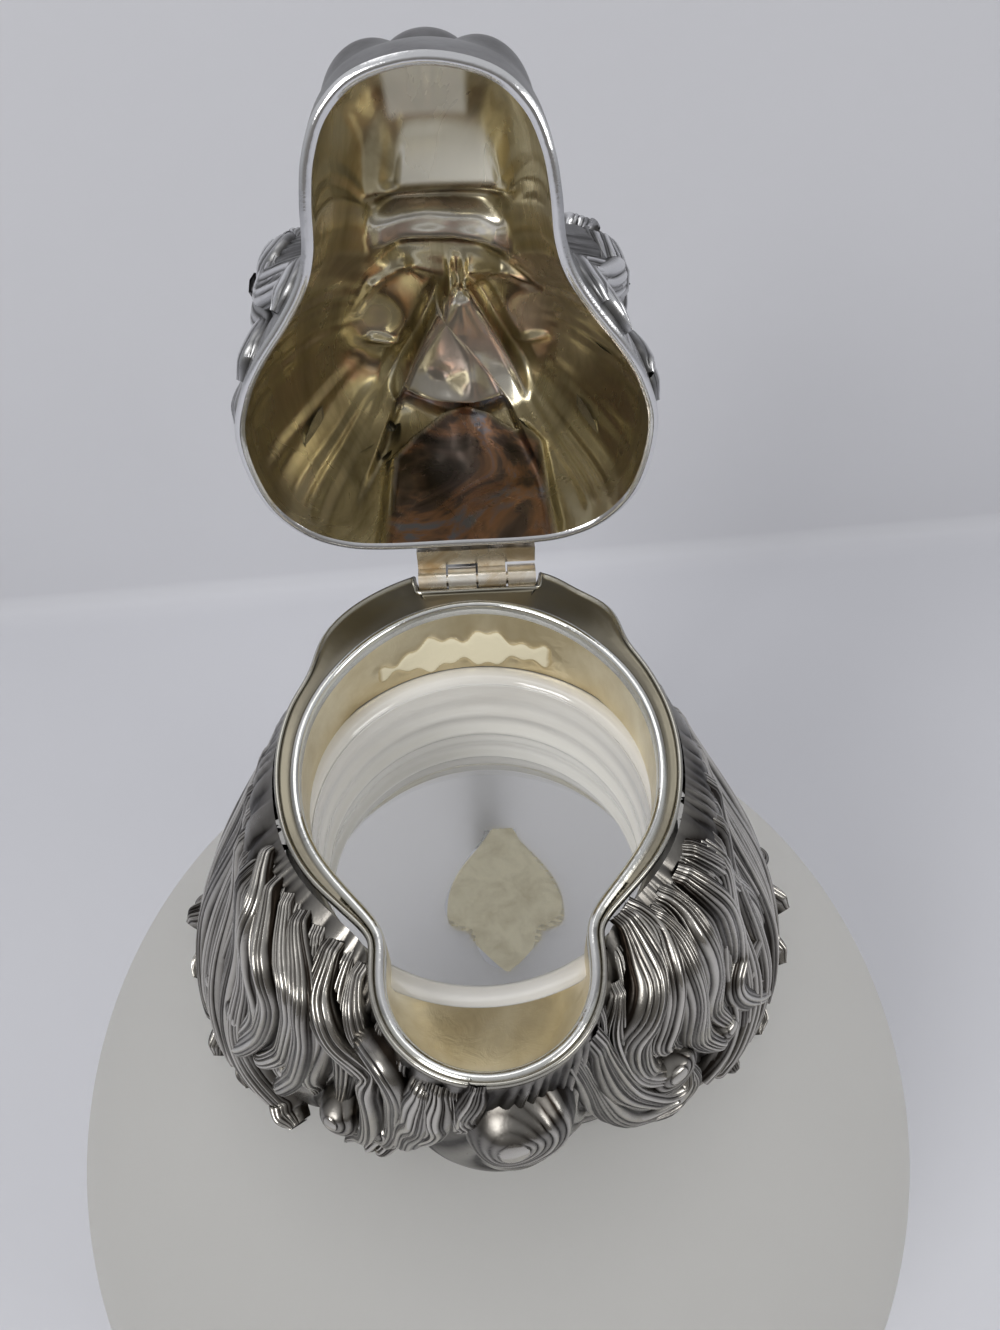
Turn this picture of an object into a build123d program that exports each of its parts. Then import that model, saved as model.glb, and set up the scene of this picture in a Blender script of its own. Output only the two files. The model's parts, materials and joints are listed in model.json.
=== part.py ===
"""Claret jug: a glass globe with a cast lion's-mane mount and a hinged lion's-head lid.

Millimetres. +Z is up, the spout points to -Y and the handle to +Y. The origin is the middle of
the base, on the table. The lid is drawn closed and then turned open about its hinge pin.
"""
import os
from math import atan2, cos, degrees, exp, hypot, pi, radians, remainder, sin, sqrt

from build123d import *

os.makedirs("parts", exist_ok=True)

# Glass
globe_r = 74.0
globe_wall = 3.6
base_r = 27.0
base_wall = 6.0
inner_base_fillet = 14.0
neck_bore_r = 18.2
neck_wall = 2.8
neck_straight = 4.94
shoulder_r = 50.0
ring_count = 4
ring_r = 0.9
ring_pitch = 3.6
ring_first = 3.4
lip_fillet = 1.0

# Mouth of the mount: a round bowl and a narrower round tongue, seen from above
bowl_r = 18.5
bowl_y = 2.8
tongue_r = 9.2
tongue_y = -18.6
blend_power = 4
back_stretch = 1.0
band_widths = [
    # degrees round the bowl from its side (the back is 90), width of the flat band
    (-90, 1.2),
    (-60, 1.5),
    (-35, 2.2),
    (0, 2.5),
    (33, 2.8),
    (45, 4.6),
    (60, 6.4),
    (72, 6.3),
    (90, 5.4),
]
throat_height = 8.5
rim_dip = 3.4
dip_y = -3.0
flat_y = 19.0
tip_lift = -0.6
bezel_thick = 1.2
liner_wall = 0.8
mount_gap = 0.3

# Mane casting
casting_wall = 2.2
thin_wall = 1.8
cement_wall = 1.7
mane_locks = 12
lock_height = 1.7
lock_drift = 5.0
outline_points = 72
mane_drops = [60, 53, 47, 41, 34, 26, 17, 8, 0]
skirt_drop = 50.5
skirt_tilt = 12.5
skirt_arch = 5.0
skirt_stand = 1.4
skirt_bell = 1.5
cavity_drop = 2.2
cement_drop = 38.0
curls = [
    # degrees round the mane from the right, size of the curled lock's end
    (-84, 5.0),
    (-128, 4.0),
    (-106, 2.6),
    (-48, 4.2),
    (-148, 3.0),
    (-166, 3.0),
    (177, 3.0),
    (160, 3.2),
    (143, 3.2),
    (126, 3.2),
    (108, 3.2),
    (90, 3.2),
    (72, 3.2),
    (54, 3.2),
    (37, 3.2),
    (21, 3.0),
    (5, 3.0),
    (-10, 3.0),
    (-27, 3.0),
]

# Hinge
hinge_x = 0.8
hinge_back = 5.7
hinge_rise = -0.2
knuckle_r = 1.6
knuckle_count = 4
hinge_length = 14.0
pin_r = 0.75
pin_clearance = 0.05
knuckle_gap = 0.25
swing_gap = 0.35
strap_thick = 1.0
open_angle = 93.0

# Lid
lid_gap = 0.4
lid_wall = 1.5
lid_x = -1.4
head_stations = [
    # place along Y, half width, height over the rim, bulge of the cheeks
    (23.0, 9.6, 20.0, 0.0),
    (22.3, 12.4, 24.6, 0.2),
    (20.6, 16.6, 27.0, 0.3),
    (17.0, 19.9, 27.9, 0.5),
    (11.5, 21.8, 27.9, 0.8),
    (5.5, 21.6, 25.8, 1.0),
    (0.8, 20.1, 23.6, 1.0),
    (-3.2, 17.8, 21.8, 0.8),
    (-7.0, 14.8, 20.0, 0.6),
    (-11.5, 12.1, 17.2, 0.5),
    (-17.2, 11.0, 15.2, 0.5),
    (-21.5, 9.8, 13.6, 0.5),
    (-24.4, 7.7, 11.0, 0.4),
    (-26.2, 5.6, 7.6, 0.2),
    (-27.7, 3.2, 4.0, 0.0),
]
nose = (-22.2, 10.4, (4.4, 3.6, 3.8))
bridge = (-14.0, 13.6, (4.2, 10.0, 4.4))
bridge_tilt = -8.0
paired_swellings = [
    # x, y, height, radii, turn in plan: brow, whisker pad, eye, cheek
    (8.0, -2.4, 21.4, (6.8, 4.2, 4.4), 14.0),
    (4.6, -20.6, 6.0, (5.6, 6.0, 5.6), 0.0),
    (7.4, -9.0, 16.4, (2.9, 2.7, 2.7), 0.0),
    (14.0, -1.0, 10.5, (6.6, 8.0, 8.0), 0.0),
]
ear_at = (19.6, 13.5, 21.0)
ear_radii = (5.4, 3.8, 6.6)
ear_hollow_at = (20.6, 10.6, 22.4)
ear_hollow_radii = (3.4, 3.0, 4.8)
ear_turn = 38.0
patch_thick = 0.8
patch_half = 9.5
patch_low = 3.0
patch_high = 21.0

# Handle
stem_half_x = 4.6
stem_half_r = 3.8
foot_half_x = 4.0
foot_half_r = 2.6
leaf_thick = 2.2
cement_thick = 1.0
leaf_angle = -37.0
leaf_half = 16.0
leaf_x = 4.0
leaf_up = 24.0
leaf_down = 20.0
handle_out = 30.0
handle_arch = 2.5
handle_joint_drop = 12.5
leaf_wrap = 2.0
handle_bends = [16.0, 18.0, 26.0, 40.0, 40.0, 30.0]

globe_z = sqrt(globe_r**2 - base_r**2)
neck_r = neck_bore_r + neck_wall
turn_x = neck_r + shoulder_r
turn_z = globe_z + sqrt((globe_r + shoulder_r) ** 2 - turn_x**2)
neck_top_z = turn_z + neck_straight
rim_z = neck_top_z + throat_height
hinge_y = bowl_y + bowl_r + hinge_back
hinge_z = rim_z + hinge_rise
front_y = tongue_y - tongue_r
hinge_axis = Axis((hinge_x, hinge_y, hinge_z), (1, 0, 0))
notch_y = hinge_y - knuckle_r - swing_gap
lid_back_y = head_stations[0][0]
lid_tip_y = head_stations[-1][0]
lid_mid_y = (lid_back_y + lid_tip_y) / 2
lid_half_length = (lid_back_y - lid_tip_y) / 2
ring_clear_r = neck_r + ring_r + mount_gap
ring_clear_height = ring_first + (ring_count - 1) * ring_pitch + 1.4
throat_low_z = neck_top_z + mount_gap
throat_high_z = rim_z - rim_dip - bezel_thick


# ---------------------------------------------------------------- shared outlines
def circle_reach(angle, radius, offset):
    """How far a ray from the outline's pole goes to a circle centred `offset` along Y."""
    inside = radius**2 - (offset * cos(angle)) ** 2
    if inside <= 0:
        return 0.0
    return max(offset * sin(angle) + sqrt(inside), 0.0)


pole_y = 0.5 * (bowl_y - bowl_r + tongue_y + tongue_r)


def between(value, table):
    """A value read off a table of pairs, with straight lines between them."""
    for (low, first), (high, second) in zip(table, table[1:]):
        if value <= high:
            return first + (second - first) * max(value - low, 0) / (high - low)
    return table[-1][1]


def mouth_edge(angle):
    """A point of the pear-shaped mouth: the two circles with a soft waist between."""
    bowl = circle_reach(angle, bowl_r, bowl_y - pole_y)
    tongue = circle_reach(angle, tongue_r, tongue_y - pole_y)
    reach = (bowl**blend_power + tongue**blend_power) ** (1 / blend_power)
    return (reach * cos(angle), pole_y + reach * sin(angle) + back_stretch * max(sin(angle), 0) ** 8)


def mouth_point(angle, share=0.0, outset=0.0):
    """A point `share` of the way across the band round the mouth, and `outset` further out."""
    x, y = mouth_edge(angle)
    ahead, behind = mouth_edge(angle + 0.01), mouth_edge(angle - 0.01)
    along = (ahead[0] - behind[0], ahead[1] - behind[1])
    length = hypot(*along)
    out = outset + share * between(degrees(atan2(y - bowl_y, abs(x))), band_widths)
    return (x + out * along[1] / length, y - out * along[0] / length)


def glass_reach(height):
    """Radius of the outside of the glass at a height on the shoulder or the upper globe."""
    join_z = globe_z + globe_r * (turn_z - globe_z) / (globe_r + shoulder_r)
    if height < join_z:
        return sqrt(globe_r**2 - (height - globe_z) ** 2)
    return turn_x - sqrt(max(shoulder_r**2 - (turn_z - min(height, turn_z)) ** 2, 0))


def skirt_height(turn):
    """Height of the mane's lower edge: high under the spout, low at the back."""
    return rim_z - skirt_drop - skirt_tilt * sin(turn) + skirt_arch * sin(turn) ** 2


def mane_point(angle, height, inset, lock_share):
    """A point of the mane's outline at one height, waved by its locks."""
    x, y = mouth_point(angle, 1.0, 0.5 - inset)
    turn = atan2(y, x)
    low_z = skirt_height(turn)
    fall = min(max((rim_z - height) / (rim_z - low_z), 0), 1)
    top = hypot(x, y)
    low = glass_reach(low_z) + skirt_stand - inset
    reach = top + (low - top) * fall**skirt_bell
    over_neck = ring_clear_r + thin_wall - inset
    if top < over_neck:
        under = min((rim_z - height) / (throat_height - 1), 1)
        reach = max(reach, top + (over_neck - top) * under)
    wave = lock_height * sin(0.8 * pi * fall) * cos(mane_locks * turn + lock_drift * fall)
    for degrees_round, size in curls:
        at = radians(degrees_round)
        aside = glass_reach(skirt_height(at)) * remainder(turn - at, 2 * pi) / size
        above = (height - skirt_height(at) - 0.4 * size) / size
        wave += size * exp(-(aside**2) - above**2)
    reach += lock_share * wave
    return (reach * cos(turn), reach * sin(turn))


def closed_face(point, count):
    """The flat face inside a closed spline that a formula's points give."""
    points = [point(2 * pi * i / count - pi / 2) for i in range(count)]
    with BuildSketch(Plane.XY, mode=Mode.PRIVATE) as sketch:
        with BuildLine():
            Spline(*points, periodic=True)
        make_face()
    return sketch.sketch


def vessel(ball, neck, top_z):
    """A filled ball whose shoulder curves up into a straight neck, as a solid of revolution."""
    turn = turn_x - neck
    centre_z = globe_z + sqrt((ball + turn) ** 2 - turn_x**2)
    lean = degrees(atan2(centre_z - globe_z, turn_x))
    with BuildPart() as solid:
        with BuildSketch(Plane.XZ):
            with BuildLine():
                body = CenterArc((0, globe_z), ball, -90, 90 + lean)
                flare = CenterArc((turn_x, centre_z), turn, 180, lean)
                Polyline(flare @ 0, (neck, top_z), (0, top_z), body @ 0)
            make_face()
        revolve(axis=Axis.Z)
    return solid.part


def under_rim(drop):
    """Everything under the saddle-shaped rim surface, lowered by `drop`."""
    with BuildPart() as solid:
        with BuildSketch(Plane.YZ):
            with BuildLine():
                back = (60, rim_z - drop)
                flat = (flat_y, rim_z - drop)
                dip = (dip_y, rim_z - rim_dip - drop)
                tip = (front_y - 12, rim_z + tip_lift - drop)
                Line(back, flat)
                Spline(flat, dip, tip, tangents=((-1, 0), (-1, 0.3)))
                Polyline(tip, (front_y - 12, 0), (60, 0), back)
            make_face()
        extrude(amount=70, both=True)
    return solid.part


def head_loft(inset):
    """The plain form of the head, lofted from the hinge to the nose; inset makes its hollow."""
    with BuildPart() as solid:
        for y, half, top, bulge in head_stations:
            at = lid_mid_y + (y - lid_mid_y) * (1 - inset / lid_half_length)
            half -= inset
            wide, high = half + bulge, top - inset
            low = -rim_dip - 3
            shoulder = (0.7 * wide, 0.86 * high)
            with BuildSketch(Plane((lid_x, at, rim_z), x_dir=(1, 0, 0), z_dir=(0, -1, 0))):
                with BuildLine():
                    Polyline((half, 0), (half, low), (-half, low), (-half, 0))
                    Spline(
                        (-half, 0),
                        (-wide, 0.4 * high),
                        (-shoulder[0], shoulder[1]),
                        (0, high),
                        shoulder,
                        (wide, 0.4 * high),
                        (half, 0),
                        tangents=((0, 1), (0, -1)),
                    )
                make_face()
        loft()
    return solid.part


def swell(x, y, height, radii, shrink, turn=(0, 0, 0)):
    """An egg-shaped swelling of the face, placed by its height over the rim."""
    egg = scale(Sphere(1), by=tuple(radius - shrink for radius in radii))
    return Pos(lid_x + x, y, rim_z + height) * Rot(*turn) * egg


def face_swellings(shrink):
    """Brows, cheeks, eyes, whisker pads, nose and bridge; the same forms shrunk hollow the casting."""
    found = [swell(0, *nose, shrink), swell(0, *bridge, shrink, (bridge_tilt, 0, 0))]
    for side in (-1, 1):
        for x, y, height, radii, spin in paired_swellings:
            found.append(swell(side * x, y, height, radii, shrink, (0, 0, -side * spin)))
    return found


def throat(outset, low_r):
    """The throat of the mount: a round hole at the glass, opening up into the mouth's outline."""
    with BuildPart() as solid:
        with BuildSketch(Plane.XY.offset(throat_low_z)):
            Circle(low_r)
        with BuildSketch(Plane.XY.offset(throat_high_z)):
            add(closed_face(lambda angle: mouth_point(angle, 0.0, outset), outline_points // 2))
        loft(ruled=True)
        with BuildSketch(Plane.XY.offset(throat_high_z)):
            add(closed_face(lambda angle: mouth_point(angle, 0.0, outset), outline_points // 2))
        extrude(amount=rim_z + 3 - throat_high_z)
    return solid.part


def mane_loft(inset, lock_share, drops):
    """The mane as one flowing form, from the skirt on the glass up to the rim."""
    with BuildPart() as solid:
        for drop in drops:
            z = rim_z - drop
            with BuildSketch(Plane.XY.offset(z)):
                add(closed_face(lambda angle: mane_point(angle, z, inset, lock_share), outline_points))
        loft(ruled=True)
    return solid.part


hinge_pocket = Pos(hinge_x, notch_y + 10, hinge_z) * Box(
    hinge_length + 2 * knuckle_gap, 20, 2 * (knuckle_r + swing_gap)
)


# ---------------------------------------------------------------- glass
ring_tops = [neck_top_z - ring_first - i * ring_pitch for i in range(ring_count)]
with BuildPart() as glass_outside:
    add(vessel(globe_r, neck_r, neck_top_z))
    with Locations(*[(0, 0, ring_z) for ring_z in ring_tops]):
        Torus(neck_r, ring_r)

with BuildPart() as glass_body:
    add(glass_outside.part)
    with BuildPart(mode=Mode.SUBTRACT):
        add(vessel(globe_r - globe_wall, neck_bore_r, neck_top_z + 1))
        split(bisect_by=Plane.XY.offset(base_wall), keep=Keep.TOP)
        fillet(faces().sort_by(Axis.Z)[0].edges(), inner_base_fillet)
    split(bisect_by=Plane.XY, keep=Keep.TOP)
    lip = faces().filter_by(GeomType.PLANE).sort_by(Axis.Z)[-1]
    fillet(lip.edges(), lip_fillet)
glass_body.part.label = "glass_body"
export_step(glass_body.part, "parts/glass_body.step")

# ---------------------------------------------------------------- throat and rim of the mount
throat_outside = throat(liner_wall, neck_bore_r + liner_wall)
throat_hole = throat(0, neck_bore_r)

with BuildPart() as spout_liner:
    add(throat_outside)
    add(throat_hole, mode=Mode.SUBTRACT)
    add(under_rim(0), mode=Mode.INTERSECT)
spout_liner.part.label = "spout_liner"
export_step(spout_liner.part, "parts/spout_liner.step")


with BuildPart() as mouth_rim:
    with BuildSketch(Plane.XY.offset(rim_z - 12)):
        add(closed_face(lambda angle: mouth_point(angle, 1.0), outline_points))
    extrude(amount=16)
    add(under_rim(0), mode=Mode.INTERSECT)
    add(under_rim(bezel_thick), mode=Mode.SUBTRACT)
    add(throat_outside, mode=Mode.SUBTRACT)
    add(hinge_pocket, mode=Mode.SUBTRACT)
mouth_rim.part.label = "mouth_rim"
export_step(mouth_rim.part, "parts/mouth_rim.step")

# ---------------------------------------------------------------- mane casting and its cement
glass_clear = vessel(globe_r + mount_gap, neck_r + mount_gap, neck_top_z + mount_gap)
ring_clear = Pos(0, 0, neck_top_z + mount_gap - ring_clear_height / 2) * Cylinder(
    ring_clear_r, ring_clear_height
)
cavity_drops = [drop for drop in mane_drops if drop < skirt_drop]
cavity = mane_loft(casting_wall + cement_wall, 0.0, cavity_drops).split(
    Plane.XY.offset(neck_top_z - cavity_drop), keep=Keep.BOTTOM
)

with BuildPart() as mane_collar:
    add(mane_loft(0, 1.0, mane_drops))
    add(under_rim(bezel_thick), mode=Mode.INTERSECT)
    add(cavity, mode=Mode.SUBTRACT)
    add(glass_clear, mode=Mode.SUBTRACT)
    add(ring_clear, mode=Mode.SUBTRACT)
    add(throat_outside, mode=Mode.SUBTRACT)
    add(hinge_pocket, mode=Mode.SUBTRACT)
mane_collar.part.label = "mane_collar"
export_step(mane_collar.part, "parts/mane_collar.step")

with BuildPart() as neck_cement:
    add(cavity)
    split(bisect_by=Plane.XY.offset(rim_z - cement_drop), keep=Keep.TOP)
    add(glass_outside.part, mode=Mode.SUBTRACT)
neck_cement.part.label = "neck_cement"
export_step(neck_cement.part, "parts/neck_cement.step")

# ---------------------------------------------------------------- hinge
knuckle_pitch = hinge_length / knuckle_count
knuckle_length = knuckle_pitch - knuckle_gap


def knuckles(odd):
    """Where every second knuckle of the row stands along the pin."""
    start = hinge_x - hinge_length / 2
    places = [start + (i + 0.5) * knuckle_pitch for i in range(knuckle_count)]
    return places[odd::2]


def hinge_half(places, bore, leaf_y, leaf_low, leaf_high):
    """Knuckles on the pin's line, each with a flat leaf forward to the piece that it holds."""
    with BuildPart() as half:
        for x in places:
            with BuildSketch(Plane.YZ.offset(x - knuckle_length / 2)):
                with Locations((hinge_y, hinge_z)):
                    Circle(knuckle_r)
                with Locations(((leaf_y + hinge_y) / 2, (leaf_low + leaf_high) / 2)):
                    Rectangle(hinge_y - leaf_y, leaf_high - leaf_low)
                with Locations((hinge_y, hinge_z)):
                    Circle(bore, mode=Mode.SUBTRACT)
            extrude(amount=knuckle_length)
    return half.part


with BuildPart() as rim_knuckles:
    add(hinge_half(knuckles(1), pin_r, notch_y, rim_z - bezel_thick, rim_z))
rim_knuckles.part.label = "rim_knuckles"
export_step(rim_knuckles.part, "parts/rim_knuckles.step")

with BuildPart() as hinge_pin:
    with Locations((hinge_x, hinge_y, hinge_z)):
        Cylinder(pin_r, hinge_length - knuckle_gap, rotation=(0, 90, 0))
hinge_pin.part.label = "hinge_pin"
export_step(hinge_pin.part, "parts/hinge_pin.step")

strap_top = hinge_z + knuckle_r
with BuildPart() as lid_knuckles:
    add(hinge_half(knuckles(0), pin_r + pin_clearance, lid_back_y, strap_top - strap_thick, strap_top))
    with Locations((hinge_x, (lid_back_y + notch_y) / 2, strap_top - strap_thick / 2)):
        Box(hinge_length - knuckle_gap, notch_y - lid_back_y, strap_thick)
lid_knuckles.part.label = "lid_knuckles"
export_step(lid_knuckles.part.rotate(hinge_axis, -open_angle), "parts/lid_knuckles.step")

# ---------------------------------------------------------------- lid
def ear_forms(at, radii):
    """The same form for the left and the right ear."""
    return [swell(side * at[0], *at[1:], radii, 0, (10, side * ear_turn, 0)) for side in (-1, 1)]


face_outside = face_swellings(0)
face_hollow = face_swellings(lid_wall)
ears = ear_forms(ear_at, ear_radii)
ear_hollows = ear_forms(ear_hollow_at, ear_hollow_radii)

with BuildPart() as lid_shell:
    add(ears)
    add(ear_hollows, mode=Mode.SUBTRACT)
    add(head_loft(0))
    add(face_outside)
    add(head_loft(lid_wall), mode=Mode.SUBTRACT)
    add(face_hollow, mode=Mode.SUBTRACT)
    add(under_rim(-lid_gap), mode=Mode.SUBTRACT)
lid_shell.part.label = "lid_shell"
export_step(lid_shell.part.rotate(hinge_axis, -open_angle), "parts/lid_shell.step")

with BuildPart() as crown_patch:
    add(head_loft(lid_wall))
    add(head_loft(lid_wall + patch_thick), mode=Mode.SUBTRACT)
    with BuildSketch(Plane((lid_x, bowl_y, 0), x_dir=(1, 0, 0), z_dir=(0, -1, 0))) as arch:
        with BuildLine():
            low, knee, top = rim_z + patch_low, rim_z + 0.55 * patch_high, rim_z + patch_high
            Line((patch_half, low), (-patch_half, low))
            Spline((-patch_half, low), (-patch_half, knee), (0, top), tangents=((0, 1), (1, 1.2)))
            Spline((0, top), (patch_half, knee), (patch_half, low), tangents=((1, -1.2), (0, -1)))
        make_face()
    extrude(amount=-30, mode=Mode.INTERSECT)
crown_patch.part.label = "crown_patch"
export_step(crown_patch.part.rotate(hinge_axis, -open_angle), "parts/crown_patch.step")

# ---------------------------------------------------------------- handle and its leaf
def globe_point(lift, degrees_up):
    """A point over the back of the globe, `lift` off the glass, at an angle over the equator."""
    reach = globe_r + lift
    return (reach * cos(radians(degrees_up)), globe_z + reach * sin(radians(degrees_up)))


handle_route = [
    (neck_r + 6, neck_top_z - handle_joint_drop),
    (neck_r + 27, neck_top_z + 0.5),
    (globe_r + 10, neck_top_z + handle_arch),
    (globe_r + handle_out, globe_z + 81),
    (globe_r + 24, globe_z + 39),
    (globe_r + 11, globe_z + 15),
    (globe_r + 5, globe_z - 15),
    globe_point(leaf_wrap, leaf_angle + 4.4),
]

leaf_plane = Plane(
    (leaf_x, *globe_point(0, leaf_angle)),
    x_dir=(-1, 0, 0),
    z_dir=(0, cos(radians(leaf_angle)), sin(radians(leaf_angle))),
)


def leaf_outline():
    """A broad ogee leaf: narrow stalk end above, wide shoulders, small pointed lobe below."""
    half = [
        (0.16 * leaf_half, leaf_up),
        (0.62 * leaf_half, 0.55 * leaf_up),
        (leaf_half, -0.12 * leaf_up),
        (0.62 * leaf_half, -0.42 * leaf_down),
        (0.5 * leaf_half, -0.62 * leaf_down),
        (0.0, -leaf_down),
    ]
    with BuildSketch(Plane.XY, mode=Mode.PRIVATE) as leaf:
        with BuildLine():
            Line((-half[0][0], leaf_up), half[0])
            Spline(*half[:3], tangents=((0.4, -1), (0, -1)))
            Spline(*half[2:4], tangents=((0, -1), (-1, -0.4)))
            Spline(*half[3:], tangents=((0.2, -1), (-1, -0.7)))
            mirror(about=Plane.YZ)
        make_face()
    return leaf.sketch


def leaf_slab(low, high):
    """A leaf-shaped piece of a spherical shell, between two distances off the glass."""
    with BuildPart() as slab:
        with BuildSketch(leaf_plane.offset(-15)):
            add(leaf_outline())
        extrude(amount=30)
        with Locations((0, 0, globe_z)):
            Sphere(globe_r + high, mode=Mode.INTERSECT)
            Sphere(globe_r + low, mode=Mode.SUBTRACT)
    return slab.part


with BuildPart() as leaf_cement:
    add(leaf_slab(0, cement_thick))
leaf_cement.part.label = "leaf_cement"
export_step(leaf_cement.part, "parts/leaf_cement.step")

with BuildPart() as leaf_plate:
    add(leaf_slab(cement_thick, cement_thick + leaf_thick))
leaf_plate.part.label = "leaf_plate"
export_step(leaf_plate.part, "parts/leaf_plate.step")

with BuildPart() as handle:
    with BuildLine(Plane.YZ) as spine:
        FilletPolyline(*handle_route, radius=handle_bends)
    for share, half_x, half_r in ((0, stem_half_x, stem_half_r), (1, foot_half_x, foot_half_r)):
        with BuildSketch(Plane(spine.line @ share, x_dir=(1, 0, 0), z_dir=spine.line % share)):
            Ellipse(half_x, half_r)
    sweep(path=spine.line, multisection=True)
    add(mane_collar.part, mode=Mode.SUBTRACT)
    add(neck_cement.part, mode=Mode.SUBTRACT)
    with Locations((0, 0, globe_z)):
        Sphere(globe_r + cement_thick + leaf_thick, mode=Mode.SUBTRACT)
handle.part.label = "handle"
export_step(handle.part, "parts/handle.step")
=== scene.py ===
"""Looks of a claret jug: frosted glass globe, cast lion's-mane mount, lion's-head lid standing open.

All shapes are worked out in millimetres in the CAD frame (+Z up, spout to -Y, origin under the
middle of the base) and turned to metres when a mesh is made. The lid is drawn shut and then turned
open about the CAD model's own hinge.
"""
import json
from math import asin, atan2, cos, degrees, pi, radians, sin, sqrt

import bpy
import numpy as np
from mathutils import Matrix, Vector


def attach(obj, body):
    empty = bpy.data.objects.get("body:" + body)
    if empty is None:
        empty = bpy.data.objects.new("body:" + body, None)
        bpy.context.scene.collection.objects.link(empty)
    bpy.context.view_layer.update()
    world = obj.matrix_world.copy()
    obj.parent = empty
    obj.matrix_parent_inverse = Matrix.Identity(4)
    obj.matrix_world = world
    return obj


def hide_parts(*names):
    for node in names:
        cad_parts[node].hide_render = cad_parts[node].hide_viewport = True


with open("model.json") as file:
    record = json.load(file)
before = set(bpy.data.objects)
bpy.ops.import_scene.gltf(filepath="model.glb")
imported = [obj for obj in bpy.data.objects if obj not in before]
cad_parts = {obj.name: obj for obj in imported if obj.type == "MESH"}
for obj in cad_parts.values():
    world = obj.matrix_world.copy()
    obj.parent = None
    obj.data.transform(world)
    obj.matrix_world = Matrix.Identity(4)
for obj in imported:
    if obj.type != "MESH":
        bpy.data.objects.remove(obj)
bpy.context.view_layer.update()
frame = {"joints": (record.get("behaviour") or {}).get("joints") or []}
MM = 0.001
rng = np.random.default_rng(7)

# ------------------------------------------------------------------ sizes shared with the CAD model
globe_r, globe_wall, base_r, base_wall = 74.0, 3.6, 27.0, 6.0
neck_bore_r, neck_wall, neck_top_z, shoulder_r = 18.2, 2.8, 175.5, 50.0
hinge_joint = frame["joints"][0]
hinge_x, hinge_y, hinge_z = (value / MM for value in hinge_joint["pos_m"])
open_angle = hinge_joint["range_deg"][1]
globe_z = sqrt(globe_r**2 - base_r**2)
neck_r = neck_bore_r + neck_wall
# Middle of the hollow curve of the shoulder, seen from the side.
shoulder_x = neck_r + shoulder_r
shoulder_z = globe_z + sqrt((globe_r + shoulder_r) ** 2 - shoulder_x**2)

# ------------------------------------------------------------------ camera, from the photograph
photo_w, photo_h = 1000, 1330
focal_px = 920.0
sensor_mm = 36.0
camera_at = Vector((0.8, -49.9, 262.0))
camera_pitch, camera_yaw, camera_roll = radians(50.87), radians(1.82), radians(-1.45)
forward = Vector(
    (sin(camera_yaw) * cos(camera_pitch), cos(camera_yaw) * cos(camera_pitch), -sin(camera_pitch))
)
level_right = Vector((cos(camera_yaw), -sin(camera_yaw), 0))
level_up = level_right.cross(forward)
right = cos(camera_roll) * level_right + sin(camera_roll) * level_up
up = right.cross(forward)

camera_data = bpy.data.cameras.new("camera")
camera_data.sensor_fit = "HORIZONTAL"
camera_data.sensor_width = sensor_mm
camera_data.lens = sensor_mm * focal_px / photo_w
camera_data.clip_start = 0.01
camera = bpy.data.objects.new("camera", camera_data)
bpy.context.scene.collection.objects.link(camera)
camera.matrix_world = Matrix.Translation(camera_at * MM) @ Matrix(
    (
        (right.x, up.x, -forward.x, 0),
        (right.y, up.y, -forward.y, 0),
        (right.z, up.z, -forward.z, 0),
        (0, 0, 0, 1),
    )
)
bpy.context.scene.camera = camera


def to_photo(points):
    """Where points of the frame, in millimetres, fall in the photograph's pixels."""
    away = np.asarray(points) - np.array(camera_at)
    depth = away @ np.array(forward)
    return np.stack(
        [
            photo_w / 2 + focal_px * (away @ np.array(right)) / depth,
            photo_h / 2 - focal_px * (away @ np.array(up)) / depth,
        ],
        axis=-1,
    )


# ------------------------------------------------------------------ small helpers
def smooth(low, high, value):
    """A soft step from 0 at `low` to 1 at `high`."""
    share = np.clip((value - low) / (high - low), 0, 1)
    return share * share * (3 - 2 * share)


def bell(value, width):
    """A bell curve, 1 in the middle."""
    return np.exp(-((value / width) ** 2))


def half_circle(value):
    """Height of a half circle of radius 1 at a place across it."""
    return np.sqrt(np.clip(1 - value**2, 0, 1))


def unit(vectors):
    """The same directions with a length of 1."""
    return vectors / np.maximum(np.linalg.norm(vectors, axis=-1, keepdims=True), 1e-9)


def running_mean(values, width, ends="edge"):
    """A weighted mean along a row of values, with its ends held or, as "wrap", closed."""
    kernel = np.hanning(width)
    return np.convolve(np.pad(values, width // 2, mode=ends), kernel / kernel.sum(), "valid")


def catmull(points, count, closed=False):
    """A smooth curve of `count` points through a few chosen ones."""
    chosen = np.asarray(points, float)
    if closed:
        chosen = np.vstack([chosen[-1:], chosen, chosen[:2]])
    else:
        chosen = np.vstack([2 * chosen[0] - chosen[1], chosen, 2 * chosen[-1] - chosen[-2]])
    spans = len(chosen) - 3
    at = np.linspace(0, spans, count, endpoint=not closed)
    i = np.minimum(at.astype(int), spans - 1)
    t = (at - i)[:, None]
    a, b, c, d = chosen[i], chosen[i + 1], chosen[i + 2], chosen[i + 3]
    return 0.5 * (
        2 * b + (c - a) * t + (2 * a - 5 * b + 4 * c - d) * t**2 + (3 * b - a - 3 * c + d) * t**3
    )


def grid_faces(rows, columns, wrap_rows=False, wrap_columns=False, start=0):
    """Quads between neighbouring points of a grid stored row by row."""
    i = np.arange(rows if wrap_rows else rows - 1)
    j = np.arange(columns if wrap_columns else columns - 1)
    i, j = np.meshgrid(i, j, indexing="ij")
    i, j = i.ravel(), j.ravel()
    i2, j2 = (i + 1) % rows, (j + 1) % columns
    return start + np.stack(
        [i * columns + j, i2 * columns + j, i2 * columns + j2, i * columns + j2], axis=1
    )


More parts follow.
